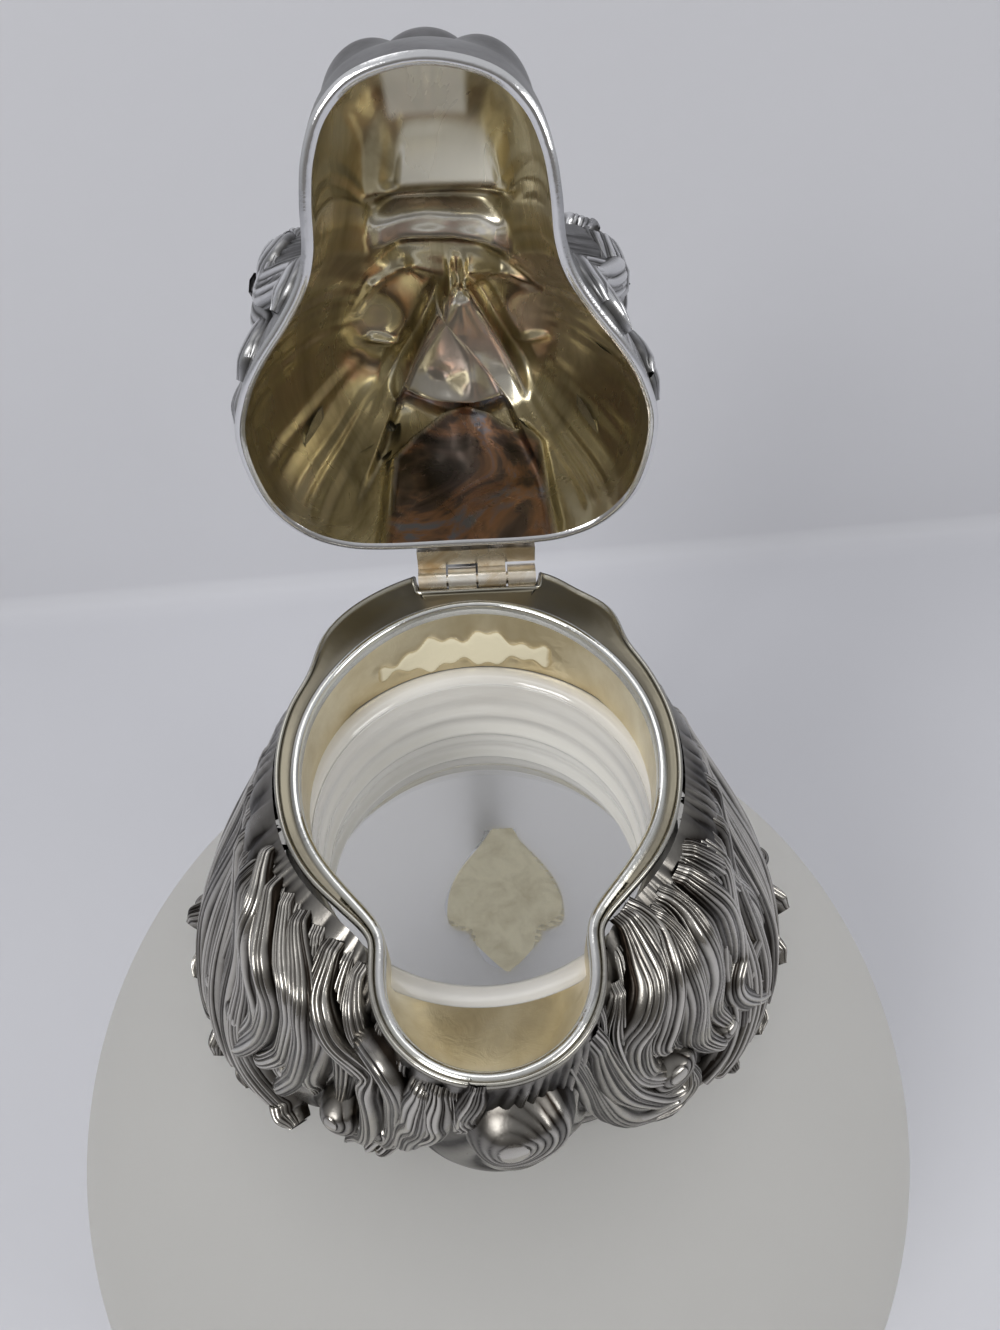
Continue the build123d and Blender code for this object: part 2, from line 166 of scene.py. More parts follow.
class Build:
    """Collects grids of points, in millimetres, into one mesh."""

    def __init__(self):
        self.points, self.faces, self.slots, self.marks = [], [], [], {}
        self.count, self.slot = 0, 0

    def add(self, grid, marks=None, wrap_rows=False, wrap_columns=False, flip=False):
        """Adds a grid in material slot `self.slot`; `marks` are named shading values of its points."""
        grid = np.asarray(grid, float)
        rows, columns = grid.shape[:2]
        faces = grid_faces(rows, columns, wrap_rows, wrap_columns, self.count)
        self.points.append(grid.reshape(-1, 3))
        self.faces.append(faces[:, ::-1] if flip else faces)
        self.slots.append(np.full(len(faces), self.slot))
        for name in set(self.marks) | set(marks or {}):
            values = np.broadcast_to((marks or {}).get(name, 0.0), (rows, columns))
            self.marks.setdefault(name, [np.zeros(self.count)]).append(values.ravel())
        self.count += rows * columns

    def finish(self, name, materials):
        mesh = bpy.data.meshes.new(name)
        mesh.from_pydata((np.vstack(self.points) * MM).tolist(), [], np.vstack(self.faces).tolist())
        mesh.polygons.foreach_set("use_smooth", [True] * len(mesh.polygons))
        for material in materials:
            mesh.materials.append(material)
        mesh.polygons.foreach_set("material_index", np.concatenate(self.slots).astype(np.int32))
        for mark, values in self.marks.items():
            attribute = mesh.attributes.new(mark, "FLOAT", "POINT")
            attribute.data.foreach_set("value", np.concatenate(values).astype(np.float32))
        mesh.update()
        made = bpy.data.objects.new(name, mesh)
        bpy.context.scene.collection.objects.link(made)
        return made


# ------------------------------------------------------------------ materials
def new_material(name):
    material = bpy.data.materials.new(name)
    material.use_nodes = True
    tree = material.node_tree
    return material, tree, tree.nodes["Principled BSDF"]


def node(tree, kind, inputs=None, **settings):
    made = tree.nodes.new(kind)
    for key, value in settings.items():
        setattr(made, key, value)
    for key, value in (inputs or {}).items():
        if isinstance(value, bpy.types.NodeSocket):
            tree.links.new(value, made.inputs[key])
        else:
            made.inputs[key].default_value = value
    return made


def place_in_frame(tree):
    """The x, y and z of the place that is shaded, in the frame's metres."""
    place = node(tree, "ShaderNodeTexCoord").outputs["Object"]
    return list(node(tree, "ShaderNodeSeparateXYZ", {0: place}).outputs)


def noise(tree, scale, detail=4.0, rough=0.6, stretch=None, distortion=0.0):
    """Noise in the frame's metres; `scale` is in lumps per metre."""
    place = node(tree, "ShaderNodeTexCoord").outputs["Object"]
    if stretch:
        place = node(tree, "ShaderNodeMapping", {"Vector": place, "Scale": stretch}).outputs[0]
    inputs = {"Vector": place, "Scale": scale, "Detail": detail, "Roughness": rough}
    inputs["Distortion"] = distortion
    return node(tree, "ShaderNodeTexNoise", inputs).outputs["Fac"]


def ramp(tree, value, stops):
    """Turns a value into the colours, or the shares, of its stops."""
    made = node(tree, "ShaderNodeValToRGB", {"Fac": value})
    for _ in range(len(stops) - 2):
        made.color_ramp.elements.new(0.5)
    for element, (place, colour) in zip(made.color_ramp.elements, stops):
        element.position = place
        element.color = (*colour, 1.0) if isinstance(colour, tuple) else (colour,) * 3 + (1.0,)
    return made.outputs["Color"]


def blend_colour(tree, share, first, second):
    made = node(tree, "ShaderNodeMix", data_type="RGBA")
    for socket, value in ((made.inputs[0], share), (made.inputs[6], first), (made.inputs[7], second)):
        if isinstance(value, bpy.types.NodeSocket):
            tree.links.new(value, socket)
        else:
            socket.default_value = value if isinstance(value, float) else (*value, 1.0)
    return made.outputs[2]


def maths(tree, operation, first, second=0.0, third=0.0, clamp=False):
    made = node(tree, "ShaderNodeMath", operation=operation, use_clamp=clamp)
    for socket, value in zip(made.inputs, (first, second, third)):
        if isinstance(value, bpy.types.NodeSocket):
            tree.links.new(value, socket)
        else:
            socket.default_value = value
    return made.outputs[0]


def mark_value(tree, name):
    return node(tree, "ShaderNodeAttribute", attribute_name=name).outputs["Fac"]


def bump(tree, height, strength, distance, shader):
    made = node(tree, "ShaderNodeBump", {"Height": height, "Strength": strength, "Distance": distance})
    tree.links.new(made.outputs[0], shader.inputs["Normal"])


def link(tree, value, shader, name):
    tree.links.new(value, shader.inputs[name])


def show(tree, surface):
    """Makes the output of a shader the look of its material."""
    tree.links.new(surface, tree.nodes["Material Output"].inputs[0])


def mixed(first, second, share=0.5):
    """The colour a share of the way from one to another."""
    return tuple((1 - share) * a + share * b for a, b in zip(first, second))


def silver(name, bright, dark, rough=(0.16, 0.42), mark="ridge", low=0.2, high=0.9):
    """Oxidised silver: bright where `mark` is high, dark brown-black in the hollows."""
    material, tree, shader = new_material(name)
    patches = noise(tree, 90, 6, 0.65)
    specks = noise(tree, 900, 3, 0.6)
    height = mark_value(tree, mark)
    uneven = maths(tree, "MULTIPLY_ADD", patches, 0.5, maths(tree, "ADD", height, -0.25))
    stops = [(low, dark), (low + 0.45 * (high - low), mixed(dark, bright, 0.38)), (high, bright)]
    tone = ramp(tree, uneven, stops)
    link(tree, tone, shader, "Base Color")
    link(tree, ramp(tree, uneven, [(low, rough[1]), (high, rough[0])]), shader, "Roughness")
    shader.inputs["Metallic"].default_value = 1.0
    bump(tree, specks, 0.25, 0.00012, shader)
    return material


def gilding(name, bright, dark, rough, patch=60.0):
    """Worn metal in patches of two tones, such as gilding with brown tarnish."""
    material, tree, shader = new_material(name)
    patches = noise(tree, patch, 5, 0.6, distortion=0.6)
    specks = noise(tree, 1400, 2, 0.5)
    tone = ramp(tree, patches, [(0.34, dark), (0.5, mixed(dark, bright)), (0.66, bright)])
    link(tree, tone, shader, "Base Color")
    link(tree, ramp(tree, patches, [(0.3, rough[1]), (0.7, rough[0])]), shader, "Roughness")
    shader.inputs["Metallic"].default_value = 1.0
    bump(tree, specks, 0.2, 0.0001, shader)
    return material


def crust_on(material, mark, pale_tone, brown):
    """Lays a crust of old plaster over a metal where `mark` is high, with a brown stained border."""
    tree = material.node_tree
    shader = tree.nodes["Principled BSDF"]
    share = mark_value(tree, mark)
    lumps = noise(tree, 420, 4, 0.6, distortion=0.6)
    edge = maths(tree, "MULTIPLY_ADD", lumps, 0.5, maths(tree, "ADD", share, -0.25))
    covered = ramp(tree, edge, [(0.42, 0.0), (0.55, 1.0)])
    tone = blend_colour(tree, ramp(tree, edge, [(0.5, 0.0), (0.8, 1.0)]), brown, pale_tone)
    metal = shader.inputs["Base Color"].links[0].from_socket
    link(tree, blend_colour(tree, covered, metal, tone), shader, "Base Color")
    link(tree, ramp(tree, covered, [(0.0, 1.0), (1.0, 0.0)]), shader, "Metallic")
    link(tree, ramp(tree, covered, [(0.0, 0.35), (1.0, 0.75)]), shader, "Roughness")
    bump(tree, lumps, 0.4, 0.0003, shader)


def lid_inside_material():
    """Worn gilding inside the lid: olive gold, grey silver on the raised parts, cream patches and painted
    highlights, and painted shade in the hollows with painted dark reflections.
    """
    material, tree, shader = new_material("lid_inside")
    patches = noise(tree, 70, 5, 0.6, stretch=(1.6, 1.0, 0.5), distortion=0.8)
    specks = noise(tree, 1500, 2, 0.5)
    olive, middle, pale_gold = (0.30, 0.26, 0.165), (0.57, 0.51, 0.35), (0.82, 0.76, 0.57)
    gold = ramp(tree, patches, [(0.32, olive), (0.5, middle), (0.68, pale_gold)])
    grey = ramp(tree, patches, [(0.3, (0.66, 0.64, 0.59)), (0.7, (0.90, 0.88, 0.82))])
    # Painted shade in the creases and painted dark reflections on the arch: near black and brown patches,
    # with copper and blue reflected tones.
    shade_and_reflection_patches = noise(tree, 75, 4, 0.6, distortion=1.5)
    black, brown = (0.07, 0.06, 0.055), (0.17, 0.13, 0.12)
    copper, blue = (0.42, 0.24, 0.16), (0.26, 0.27, 0.34)
    shade_and_reflection_tones = ramp(tree, shade_and_reflection_patches, [(0.38, black), (0.48, brown), (0.55, copper), (0.62, blue)])
    tone = blend_colour(tree, mark_value(tree, "silvery"), gold, grey)
    tone = blend_colour(tree, mark_value(tree, "cream"), tone, (1.0, 0.98, 0.88))
    tone = blend_colour(tree, mark_value(tree, "gloom"), tone, shade_and_reflection_tones)
    link(tree, tone, shader, "Base Color")
    satin = ramp(tree, patches, [(0.35, 0.36), (0.65, 0.19)])
    smoother = maths(tree, "MULTIPLY_ADD", mark_value(tree, "silvery"), -0.45, 1.0)
    link(tree, maths(tree, "MULTIPLY", satin, smoother), shader, "Roughness")
    shine = maths(tree, "MULTIPLY_ADD", mark_value(tree, "cream"), -0.85, 1.0)
    shine = maths(tree, "MULTIPLY_ADD", mark_value(tree, "silvery"), -0.34, shine, clamp=True)
    link(tree, shine, shader, "Metallic")
    bump(tree, specks, 0.12, 0.0001, shader)
    return material


mane_silver = silver(
    "mane_silver", (0.55, 0.525, 0.48), (0.016, 0.012, 0.009), (0.17, 0.38), low=0.3, high=1.0
)
rim_silver = silver("rim_silver", (0.7, 0.7, 0.67), (0.27, 0.245, 0.185), (0.12, 0.3), "bright", 0.1, 0.85)
fur_silver = silver("fur_silver", (0.74, 0.74, 0.75), (0.07, 0.068, 0.065), (0.16, 0.4))
lid_inside = lid_inside_material()
throat_gold = gilding("throat_gold", (0.92, 0.85, 0.66), (0.62, 0.52, 0.32), (0.25, 0.45))
crust_on(throat_gold, "plaster", (0.74, 0.68, 0.50), (0.40, 0.30, 0.14))
hinge_gold = gilding("hinge_gold", (0.95, 0.91, 0.82), (0.60, 0.48, 0.32), (0.16, 0.35), patch=240.0)
plain_silver = gilding("plain_silver", (0.68, 0.68, 0.68), (0.40, 0.40, 0.41), (0.16, 0.3), patch=45.0)

# ------------------------------------------------------------------ shared outlines
# The mouth is a round bowl and a narrower tongue towards the spout, blended into one line.
bowl_r, bowl_y, tongue_r, tongue_y = 18.5, 2.8, 9.2, -18.6
blend_power = 4
hinge_half, notch_y = 7.25, hinge_y - 1.95
# How far the rim dips under rim_z, as places along Y and depths.
saddle_y = np.array([-41.0, -30.0, -18.0, -3.0, 8.0, 19.0, 60.0])
saddle_z = np.array([-0.6, -2.2, -3.5, -3.4, -1.2, 0.0, 0.0])
rim_z = 184.0
full_turn = np.linspace(0, 2 * pi, 720, endpoint=False)
# Width of the flat band outside the mouth by the bearing from the middle of the bowl, -90 at the spout.
band_bearing = [-90, -60, -35, 0, 33, 45, 60, 72, 90]
band_width = [1.2, 1.5, 2.2, 2.5, 2.8, 4.6, 6.4, 6.3, 5.4]


def circle_reach(angle, radius, offset):
    """Reach at each angle of a circle whose middle is `offset` along Y; 0 where it isn't met."""
    inside = radius**2 - (offset * np.cos(angle)) ** 2
    reach = offset * np.sin(angle) + np.sqrt(np.maximum(inside, 0))
    return np.where(inside > 0, np.maximum(reach, 0), 0)


def outline_normals(line):
    along = unit(np.roll(line, -1, axis=0) - np.roll(line, 1, axis=0))
    return np.stack([along[:, 1], -along[:, 0]], axis=1)


def mouth_lines():
    """The pear-shaped mouth and the outer edge of the flat band round it, both as (x, y) rows."""
    pole = 0.5 * (bowl_y - bowl_r + tongue_y + tongue_r)
    reach = (
        circle_reach(full_turn, bowl_r, bowl_y - pole) ** blend_power
        + circle_reach(full_turn, tongue_r, tongue_y - pole) ** blend_power
    ) ** (1 / blend_power)
    inner = np.stack([reach * np.cos(full_turn), pole + reach * np.sin(full_turn)], axis=1)
    round_bowl = np.degrees(np.arctan2(inner[:, 1] - bowl_y, np.abs(inner[:, 0])))
    inner += np.stack([0 * reach, smooth(35, 90, round_bowl)], axis=1)
    near_waist = bell(inner[:, 1] + 12.5, 6.0)
    for column in range(2):
        eased = running_mean(inner[:, column], 101, "wrap")
        inner[:, column] += near_waist * (eased - inner[:, column])
    width = running_mean(np.interp(round_bowl, band_bearing, band_width), 31, "wrap")
    return inner, inner + outline_normals(inner) * width[:, None]


def polar_reach(line):
    """Reach of a closed line from the jug's axis, as a function of the angle round it."""
    angle, reach = np.arctan2(line[:, 1], line[:, 0]), np.hypot(line[:, 0], line[:, 1])
    order = np.argsort(angle)
    return lambda at: np.interp(at, angle[order], reach[order], period=2 * pi)


def rim_height(y):
    """The saddle-shaped height of the rim."""
    fine = np.linspace(saddle_y[0], saddle_y[-1], 400)
    return rim_z + np.interp(y, fine, running_mean(np.interp(fine, saddle_y, saddle_z), 41))


mouth_line, band_line = mouth_lines()
band_reach = polar_reach(band_line)

# ------------------------------------------------------------------ glass
def arc(centre, radius, low, high, count):
    """Points along an arc between two angles in degrees."""
    angle = np.radians(np.linspace(low, high, count))
    return np.stack([centre[0] + radius * np.cos(angle), centre[1] + radius * np.sin(angle)], axis=1)


def vessel_profile(ball, neck, top_z):
    """Outline of the globe, the shoulder and the neck, from the base up."""
    turn = shoulder_x - neck
    turn_z = globe_z + sqrt((ball + turn) ** 2 - shoulder_x**2)
    lean = degrees(atan2(turn_z - globe_z, shoulder_x))
    low = -degrees(asin(globe_z / ball)) if ball >= globe_z else -90.0
    body = arc((0, globe_z), ball, low, lean, 90)
    flare = arc((shoulder_x, turn_z), turn, 180 + lean, 180, 30)
    return np.vstack([body, flare[1:], [[neck, top_z]]])


# Soft moulded rings in the neck, as height and how far they stand in.
neck_rings = ((172.4, 0.12), (169.0, 0.3), (165.2, 0.6), (162.6, 0.2), (158.8, 0.9), (154.6, 0.3))
neck_from_z, neck_look_z, neck_rows, glass_columns = 147.0, 150.0, 70, 256
lip_z, lip_height = neck_top_z - 0.9, 0.64
outside = vessel_profile(globe_r, neck_r, neck_top_z - 0.8)
inside = vessel_profile(globe_r - globe_wall, neck_bore_r, neck_top_z - 0.6)
inside = inside[inside[:, 1] > base_wall + 8]
upper = inside[inside[:, 1] > neck_from_z]
neck_z = np.linspace(neck_from_z + 1, neck_top_z - 0.7, neck_rows)
neck_inside = np.stack([np.interp(neck_z, upper[:, 1], upper[:, 0]), neck_z], axis=1)
inside = np.vstack([inside[inside[:, 1] <= neck_from_z], neck_inside])
for ring_z, size in neck_rings:
    inside[:, 0] -= size * bell(inside[:, 1] - ring_z, 1.0)
lip = arc((neck_bore_r + neck_wall / 2, lip_z), neck_wall / 2, 0, 180, 9)
lip[:, 1] = lip_z + (lip[:, 1] - lip_z) * lip_height
floor_curve = np.array([[0.0, 0.0], [16.0, 0.0], [26.0, 1.2], [33.0, 4.2]]) + [0.0, base_wall]
underside = [[0.01, 0.0], [base_r - 0.6, 0.0]]
profile = np.vstack([underside, outside, lip, inside[::-1], floor_curve[::-1]])
angle = np.linspace(0, 2 * pi, glass_columns, endpoint=False)
profile_r, profile_z = profile[:, 0][:, None], profile[:, 1][:, None]
glass_grid = np.stack(
    [profile_r * np.cos(angle), profile_r * np.sin(angle), profile_z + 0 * angle], axis=-1
)

# The leaf that is cemented to the back of the globe, as seen through it: elevation in degrees from the
# middle of the globe, place along X, and reach up, down and to each side in millimetres.
leaf_angle, leaf_x, leaf_up, leaf_down, leaf_half = -37.0, 4.0, 24.0, 20.0, 16.0


def frosted_material():
    """Acid-frosted outside: scatters light both ways, and turns clear where cement wets it."""
    material, tree, shader = new_material("frosted_glass")
    shader.inputs["Roughness"].default_value = 0.55
    shader.inputs["IOR"].default_value = 1.45
    grain = noise(tree, 2600, 2, 0.5)
    cloud = noise(tree, 22, 3, 0.5)
    tone = ramp(tree, cloud, [(0.3, (0.28, 0.27, 0.245)), (0.7, (0.34, 0.33, 0.305))])
    link(tree, tone, shader, "Base Color")
    bump(tree, grain, 0.25, 0.0001, shader)
    through = node(tree, "ShaderNodeBsdfTranslucent", {"Color": (0.97, 0.96, 0.935, 1)})
    scatter = node(tree, "ShaderNodeMixShader", {0: 0.82, 1: shader.outputs[0], 2: through.outputs[0]})
    x, y, z = place_in_frame(tree)
    height = maths(tree, "SUBTRACT", z, globe_z * MM)
    elevation = maths(tree, "ARCTAN2", height, y)
    along = maths(tree, "MULTIPLY", maths(tree, "SUBTRACT", elevation, radians(leaf_angle)), globe_r)
    wobble = maths(tree, "MULTIPLY_ADD", noise(tree, 160, 2, 0.5), 2.0, -1.0)
    long = leaf_up + leaf_down
    share = maths(tree, "MULTIPLY_ADD", maths(tree, "ADD", along, wobble), 1 / long, leaf_down / long)
    curve = node(tree, "ShaderNodeFloatCurve", {"Value": share})
    points = curve.mapping.curves[0].points
    outline = [(0.0, 0.0), (0.06, 0.25), (0.15, 0.48), (0.27, 0.55), (0.33, 0.80), (0.44, 1.0)]
    outline += [(0.55, 0.93), (0.65, 0.80), (0.84, 0.47), (0.93, 0.30), (1.0, 0.25)]
    points[0].location, points[1].location = outline[0], outline[-1]
    for spot in outline[1:-1]:
        points.new(*spot)
    curve.mapping.update()
    half = maths(tree, "MULTIPLY", curve.outputs[0], leaf_half * MM)
    off_middle = maths(tree, "SUBTRACT", x, leaf_x * MM)
    off_middle = maths(tree, "MULTIPLY_ADD", noise(tree, 160, 2, 0.5), 1.2 * MM, off_middle)
    side = maths(tree, "ABSOLUTE", off_middle)
    inner = maths(tree, "GREATER_THAN", half, side)
    span = maths(tree, "LESS_THAN", maths(tree, "ABSOLUTE", maths(tree, "SUBTRACT", share, 0.5)), 0.5)
    back = maths(tree, "GREATER_THAN", y, 0.0)
    wet = maths(tree, "MULTIPLY", maths(tree, "MULTIPLY", inner, span), back)
    clear = node(tree, "ShaderNodeBsdfTransparent")
    final = node(tree, "ShaderNodeMixShader", {0: wet, 1: scatter.outputs[0], 2: clear.outputs[0]})
    show(tree, final.outputs[0])
    return material


def clear_glass():
    """The polished inside: a thin gloss over what lies behind it."""
    material, tree, shader = new_material("clear_glass")
    shader.inputs["Base Color"].default_value = (0.9, 0.93, 0.95, 1)
    shader.inputs["Alpha"].default_value = 0.15
    link(tree, ramp(tree, noise(tree, 30, 2, 0.5), [(0.3, 0.03), (0.7, 0.07)]), shader, "Roughness")
    return material


def neck_glass():
    """The neck seen from inside, with pale cement close behind it."""
    material, tree, shader = new_material("neck_glass")
    from_z, tall = 146.0 * MM, 30.0 * MM
    height = maths(tree, "MULTIPLY_ADD", place_in_frame(tree)[2], 1 / tall, -from_z / tall)
    streak = noise(tree, 160, 4, 0.6, stretch=(0.3, 0.3, 2.0), distortion=0.4)
    stops = [(0.0, (0.60, 0.61, 0.60)), (0.25, (0.72, 0.71, 0.68)), (0.6, (0.80, 0.79, 0.75))]
    tone = ramp(tree, height, stops + [(0.9, (0.66, 0.64, 0.60))])
    streaks = ramp(tree, streak, [(0.45, 0.0), (0.75, 0.35)])
    link(tree, blend_colour(tree, streaks, tone, (0.9, 0.9, 0.88)), shader, "Base Color")
    shader.inputs["Roughness"].default_value = 0.12
    shader.inputs["Coat Weight"].default_value = 0.6
    shader.inputs["Coat Roughness"].default_value = 0.03
    bump(tree, streak, 0.25, 0.0006, shader)
    return material


glass = Build()
glass.add(glass_grid, wrap_columns=True)
# Material slots row by row: frosted outside, clear inside the globe, paler inside the neck.
row_z = 0.5 * (profile[1:, 1] + profile[:-1, 1])
row_index = np.arange(len(profile) - 1)
outer_rows = len(outside) + len(underside)
row_slot = np.zeros(len(row_index), int)
row_slot[(row_index >= outer_rows + len(lip) - 2) & (row_z < neck_look_z)] = 1
row_slot[(row_index >= outer_rows - 1) & (row_z >= neck_look_z)] = 2
glass.slots = [np.repeat(row_slot, glass_columns)]
glass_piece = glass.finish("globe", [frosted_material(), clear_glass(), neck_glass()])
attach(glass_piece, "jug")
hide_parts("glass_body")

# ------------------------------------------------------------------ rim, band and throat
def band_rows(rows):
    """Rows of points across the band: share of the way out, extra way out, and height."""
    grid = []
    for share, extra, height in rows:
        line = mouth_line + share * (band_line - mouth_line)
        out = outline_normals(line)
        spot = line + out * extra
        grid.append(np.column_stack([spot, rim_height(spot[:, 1]) + height]))
    return np.array(grid)


rim_rows = [(0.0, 0.05, -2.2), (0.0, 0.0, -0.5), (0.0, 0.03, 0.1), (0.0, 0.2, 0.36), (0.0, 0.5, 0.42)]
rim_rows += [(0.0, 0.8, 0.34), (0.0, 1.0, 0.06), (0.0, 1.12, 0.0), (0.6, 0.0, 0.0), (0.75, 0.0, 0.0)]
rim_rows += [(0.88, 0.0, 0.0), (1.0, -0.42, 0.05), (1.0, -0.3, 0.28), (1.0, -0.05, 0.34)]
rim_rows += [(1.0, 0.14, 0.1), (1.0, 0.16, -0.6), (1.0, -0.2, -1.4)]
tufts = 0.3 * np.sin(full_turn * 23 + 1.3 * np.sin(full_turn * 5)) * smooth(8, 20, band_line[:, 1])
band_line = band_line + outline_normals(band_line) * tufts[:, None]
notch = (np.abs(band_line[:, 0] - hinge_x) < hinge_half) & (band_line[:, 1] > notch_y)
band_line[notch, 1] = notch_y
rim_grid = band_rows(rim_rows)
rim_bright = np.array([0.3, 0.8, 1, 1, 1, 0.7, 0.3, 0.1, 0.0, 0.0, 0.05, 0.2, 0.4, 0.5, 0.4, 0.3, 0.2])
rim_build = Build()
rim_build.add(rim_grid, {"bright": rim_bright[:, None]}, wrap_columns=True)
rim_piece = rim_build.finish("rim_band", [rim_silver])
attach(rim_piece, "jug")
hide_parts("mouth_rim")

throat_low_r, throat_low_z, throat_count = 20.5, neck_top_z - 0.1, 26
start = mouth_line + outline_normals(mouth_line) * 0.02
start_z = rim_height(start[:, 1]) - 1.2
far = np.maximum(np.hypot(start[:, 0], start[:, 1]) / throat_low_r, 1.0)
finish_at = start / far[:, None]
slope = smooth(1.02, 1.3, far)
throat_rows = []
for t in np.linspace(0, 1, throat_count):
    way = t ** (1.0 + 0.25 * slope)
    drop = (1 - slope) * t + slope * (t**0.72)
    spot = start + (finish_at - start) * way[:, None]
    throat_rows.append(np.column_stack([spot, start_z + (throat_low_z - start_z) * drop]))
throat_rows = np.array(throat_rows)
# The band of old plaster that shows in the throat on the hinge's side.
throat_x = throat_rows[..., 0]
level = np.linspace(0, 1, throat_count)[:, None]
uneven = 0.05 * np.sin(throat_x * 0.9) + 0.03 * np.sin(throat_x * 2.3 + 1)
far_along = ((throat_x + 1.0) / 11.0) ** 2
plaster = smooth(0.30, 0.42, level + 1.6 * uneven - 0.16 * far_along)
plaster = plaster * smooth(0.94, 0.84, level - 1.4 * uneven + 0.22 * far_along)
plaster = plaster * smooth(11.5, 9.5, np.abs(throat_x + 1.0) + 8 * uneven) * (throat_rows[..., 1] > 0)
throat_rows[..., 1] -= 0.3 * plaster
throat_build = Build()
throat_build.add(throat_rows, {"plaster": plaster}, wrap_columns=True, flip=True)
throat_piece = throat_build.finish("throat", [throat_gold])
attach(throat_piece, "jug")
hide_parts("spout_liner")

# ------------------------------------------------------------------ mane
# The skirt on the glass lies `skirt_drop` under the rim; it tilts to the front, and arches at both ends.
skirt_drop, skirt_tilt, skirt_arch, skirt_stand = 50.5, 12.5, 5.0, 1.2
over_neck, throat_height, side_bulge = 24.0, 8.5, 5.0


def glass_reach(height):
    """Radius of the outside of the glass at a height on the shoulder or the upper globe."""
    join_z = globe_z + globe_r * (shoulder_z - globe_z) / (globe_r + shoulder_r)
    ball = np.sqrt(np.maximum(globe_r**2 - (np.minimum(height, join_z) - globe_z) ** 2, 0))
    below = shoulder_z - np.clip(height, join_z, shoulder_z)
    flare = shoulder_x - np.sqrt(np.maximum(shoulder_r**2 - below**2, 0))
    return np.where(height < join_z, ball, flare)


def glass_height(reach):
    """Height of the glass surface at a given distance from the axis, on the shoulder."""
    join_r = globe_r * shoulder_x / (globe_r + shoulder_r)
    inward = shoulder_x - np.minimum(reach, join_r)
    flare = shoulder_z - np.sqrt(np.maximum(shoulder_r**2 - inward**2, 0))
    ball = globe_z + np.sqrt(np.maximum(globe_r**2 - np.maximum(reach, join_r) ** 2, 0))
    return np.where(reach < join_r, flare, ball)


def mane_surface(angle, fall):
    """The casting under the locks: `fall` is 0 at the band and 1 at the skirt on the glass."""
    top_r = band_reach(angle) + 0.1
    x, y = top_r * np.cos(angle), top_r * np.sin(angle)
    notched = (np.abs(x - hinge_x) < hinge_half + 0.4) & (y > notch_y - 1)
    top_z = np.where(notched, hinge_z - 2.3, rim_height(y) - 0.5)
    low_z = rim_z - skirt_drop - skirt_tilt * np.sin(angle) + skirt_arch * np.sin(angle) ** 2
    low_r = glass_reach(low_z) + skirt_stand
    slope = glass_height(low_r + 0.5) - glass_height(low_r - 0.5)
    along = np.stack([np.ones_like(slope), slope]) / np.sqrt(1 + slope**2)
    span = np.hypot(low_r - top_r, low_z - top_z)
    front = smooth(-14, -24, y)
    pull = span * (0.26 - 0.2 * front)
    mid_r, mid_z = low_r - along[0] * pull, low_z - along[1] * pull
    t = np.minimum(fall, 1.0)
    over = np.maximum(fall - 1.0, 0) * span
    reach = (1 - t) ** 2 * top_r + 2 * t * (1 - t) * mid_r + t**2 * low_r + over * along[0]
    height = (1 - t) ** 2 * top_z + 2 * t * (1 - t) * mid_z + t**2 * low_z + over * along[1]
    under = np.clip((rim_height(y) - height) / (throat_height - 2), 0, 1)
    # Where the band is narrower than the neck, the casting swells out over the neck under it.
    swell = np.where(top_r < over_neck, np.sin(under * pi / 2), 0)
    reach = np.maximum(reach, top_r + (over_neck - top_r) * swell)
    bulge = 1.2 * front + side_bulge * np.abs(np.cos(angle)) ** 0.8 * (1 - front)
    reach = reach + np.sin(pi * t) * bulge
    return np.stack([reach * np.cos(angle), reach * np.sin(angle), height], axis=-1)


def mane_frame(angle, fall):
    """Point and outward normal of the casting."""
    step = 0.004
    du = mane_surface(angle + step, fall) - mane_surface(angle - step, fall)
    dv = mane_surface(angle, fall + step) - mane_surface(angle, fall - step)
    return mane_surface(angle, fall), unit(np.cross(dv, du))


# Places all over the casting and where the photograph shows them, to find the place seen at a pixel.
all_round = np.linspace(-pi, pi, 721)
look_a, look_f = np.meshgrid(all_round, np.linspace(-0.02, 1.3, 67), indexing="ij")
look_spot, look_normal = mane_frame(look_a, look_f)
look_photo = to_photo(look_spot)
facing = np.einsum("ijk,ijk->ij", look_normal, np.array(camera_at) - look_spot) > -0.02


def place_of_pixel(pixel):
    """Angle and fall on the casting seen at one pixel of the photograph."""
    gap = np.linalg.norm(look_photo - pixel, axis=-1) + np.where(facing, 0, 400)
    best = np.unravel_index(np.argmin(gap), gap.shape)
    angle, fall = look_a[best], look_f[best]
    step, smallest_det = 0.003, 2000
    for _ in range(6):
        here = to_photo(mane_surface(np.array(angle), np.array(fall)))
        da = to_photo(mane_surface(np.array(angle + step), np.array(fall))) - here
        df = to_photo(mane_surface(np.array(angle), np.array(fall + step))) - here
        matrix = np.stack([da, df], axis=1) / step
        if abs(np.linalg.det(matrix)) < smallest_det:
            break
        move = np.clip(np.linalg.solve(matrix, np.asarray(pixel) - here), -0.05, 0.05)
        angle, fall = angle + move[0], min(max(fall + move[1], -0.02), 1.35)
    return angle, fall


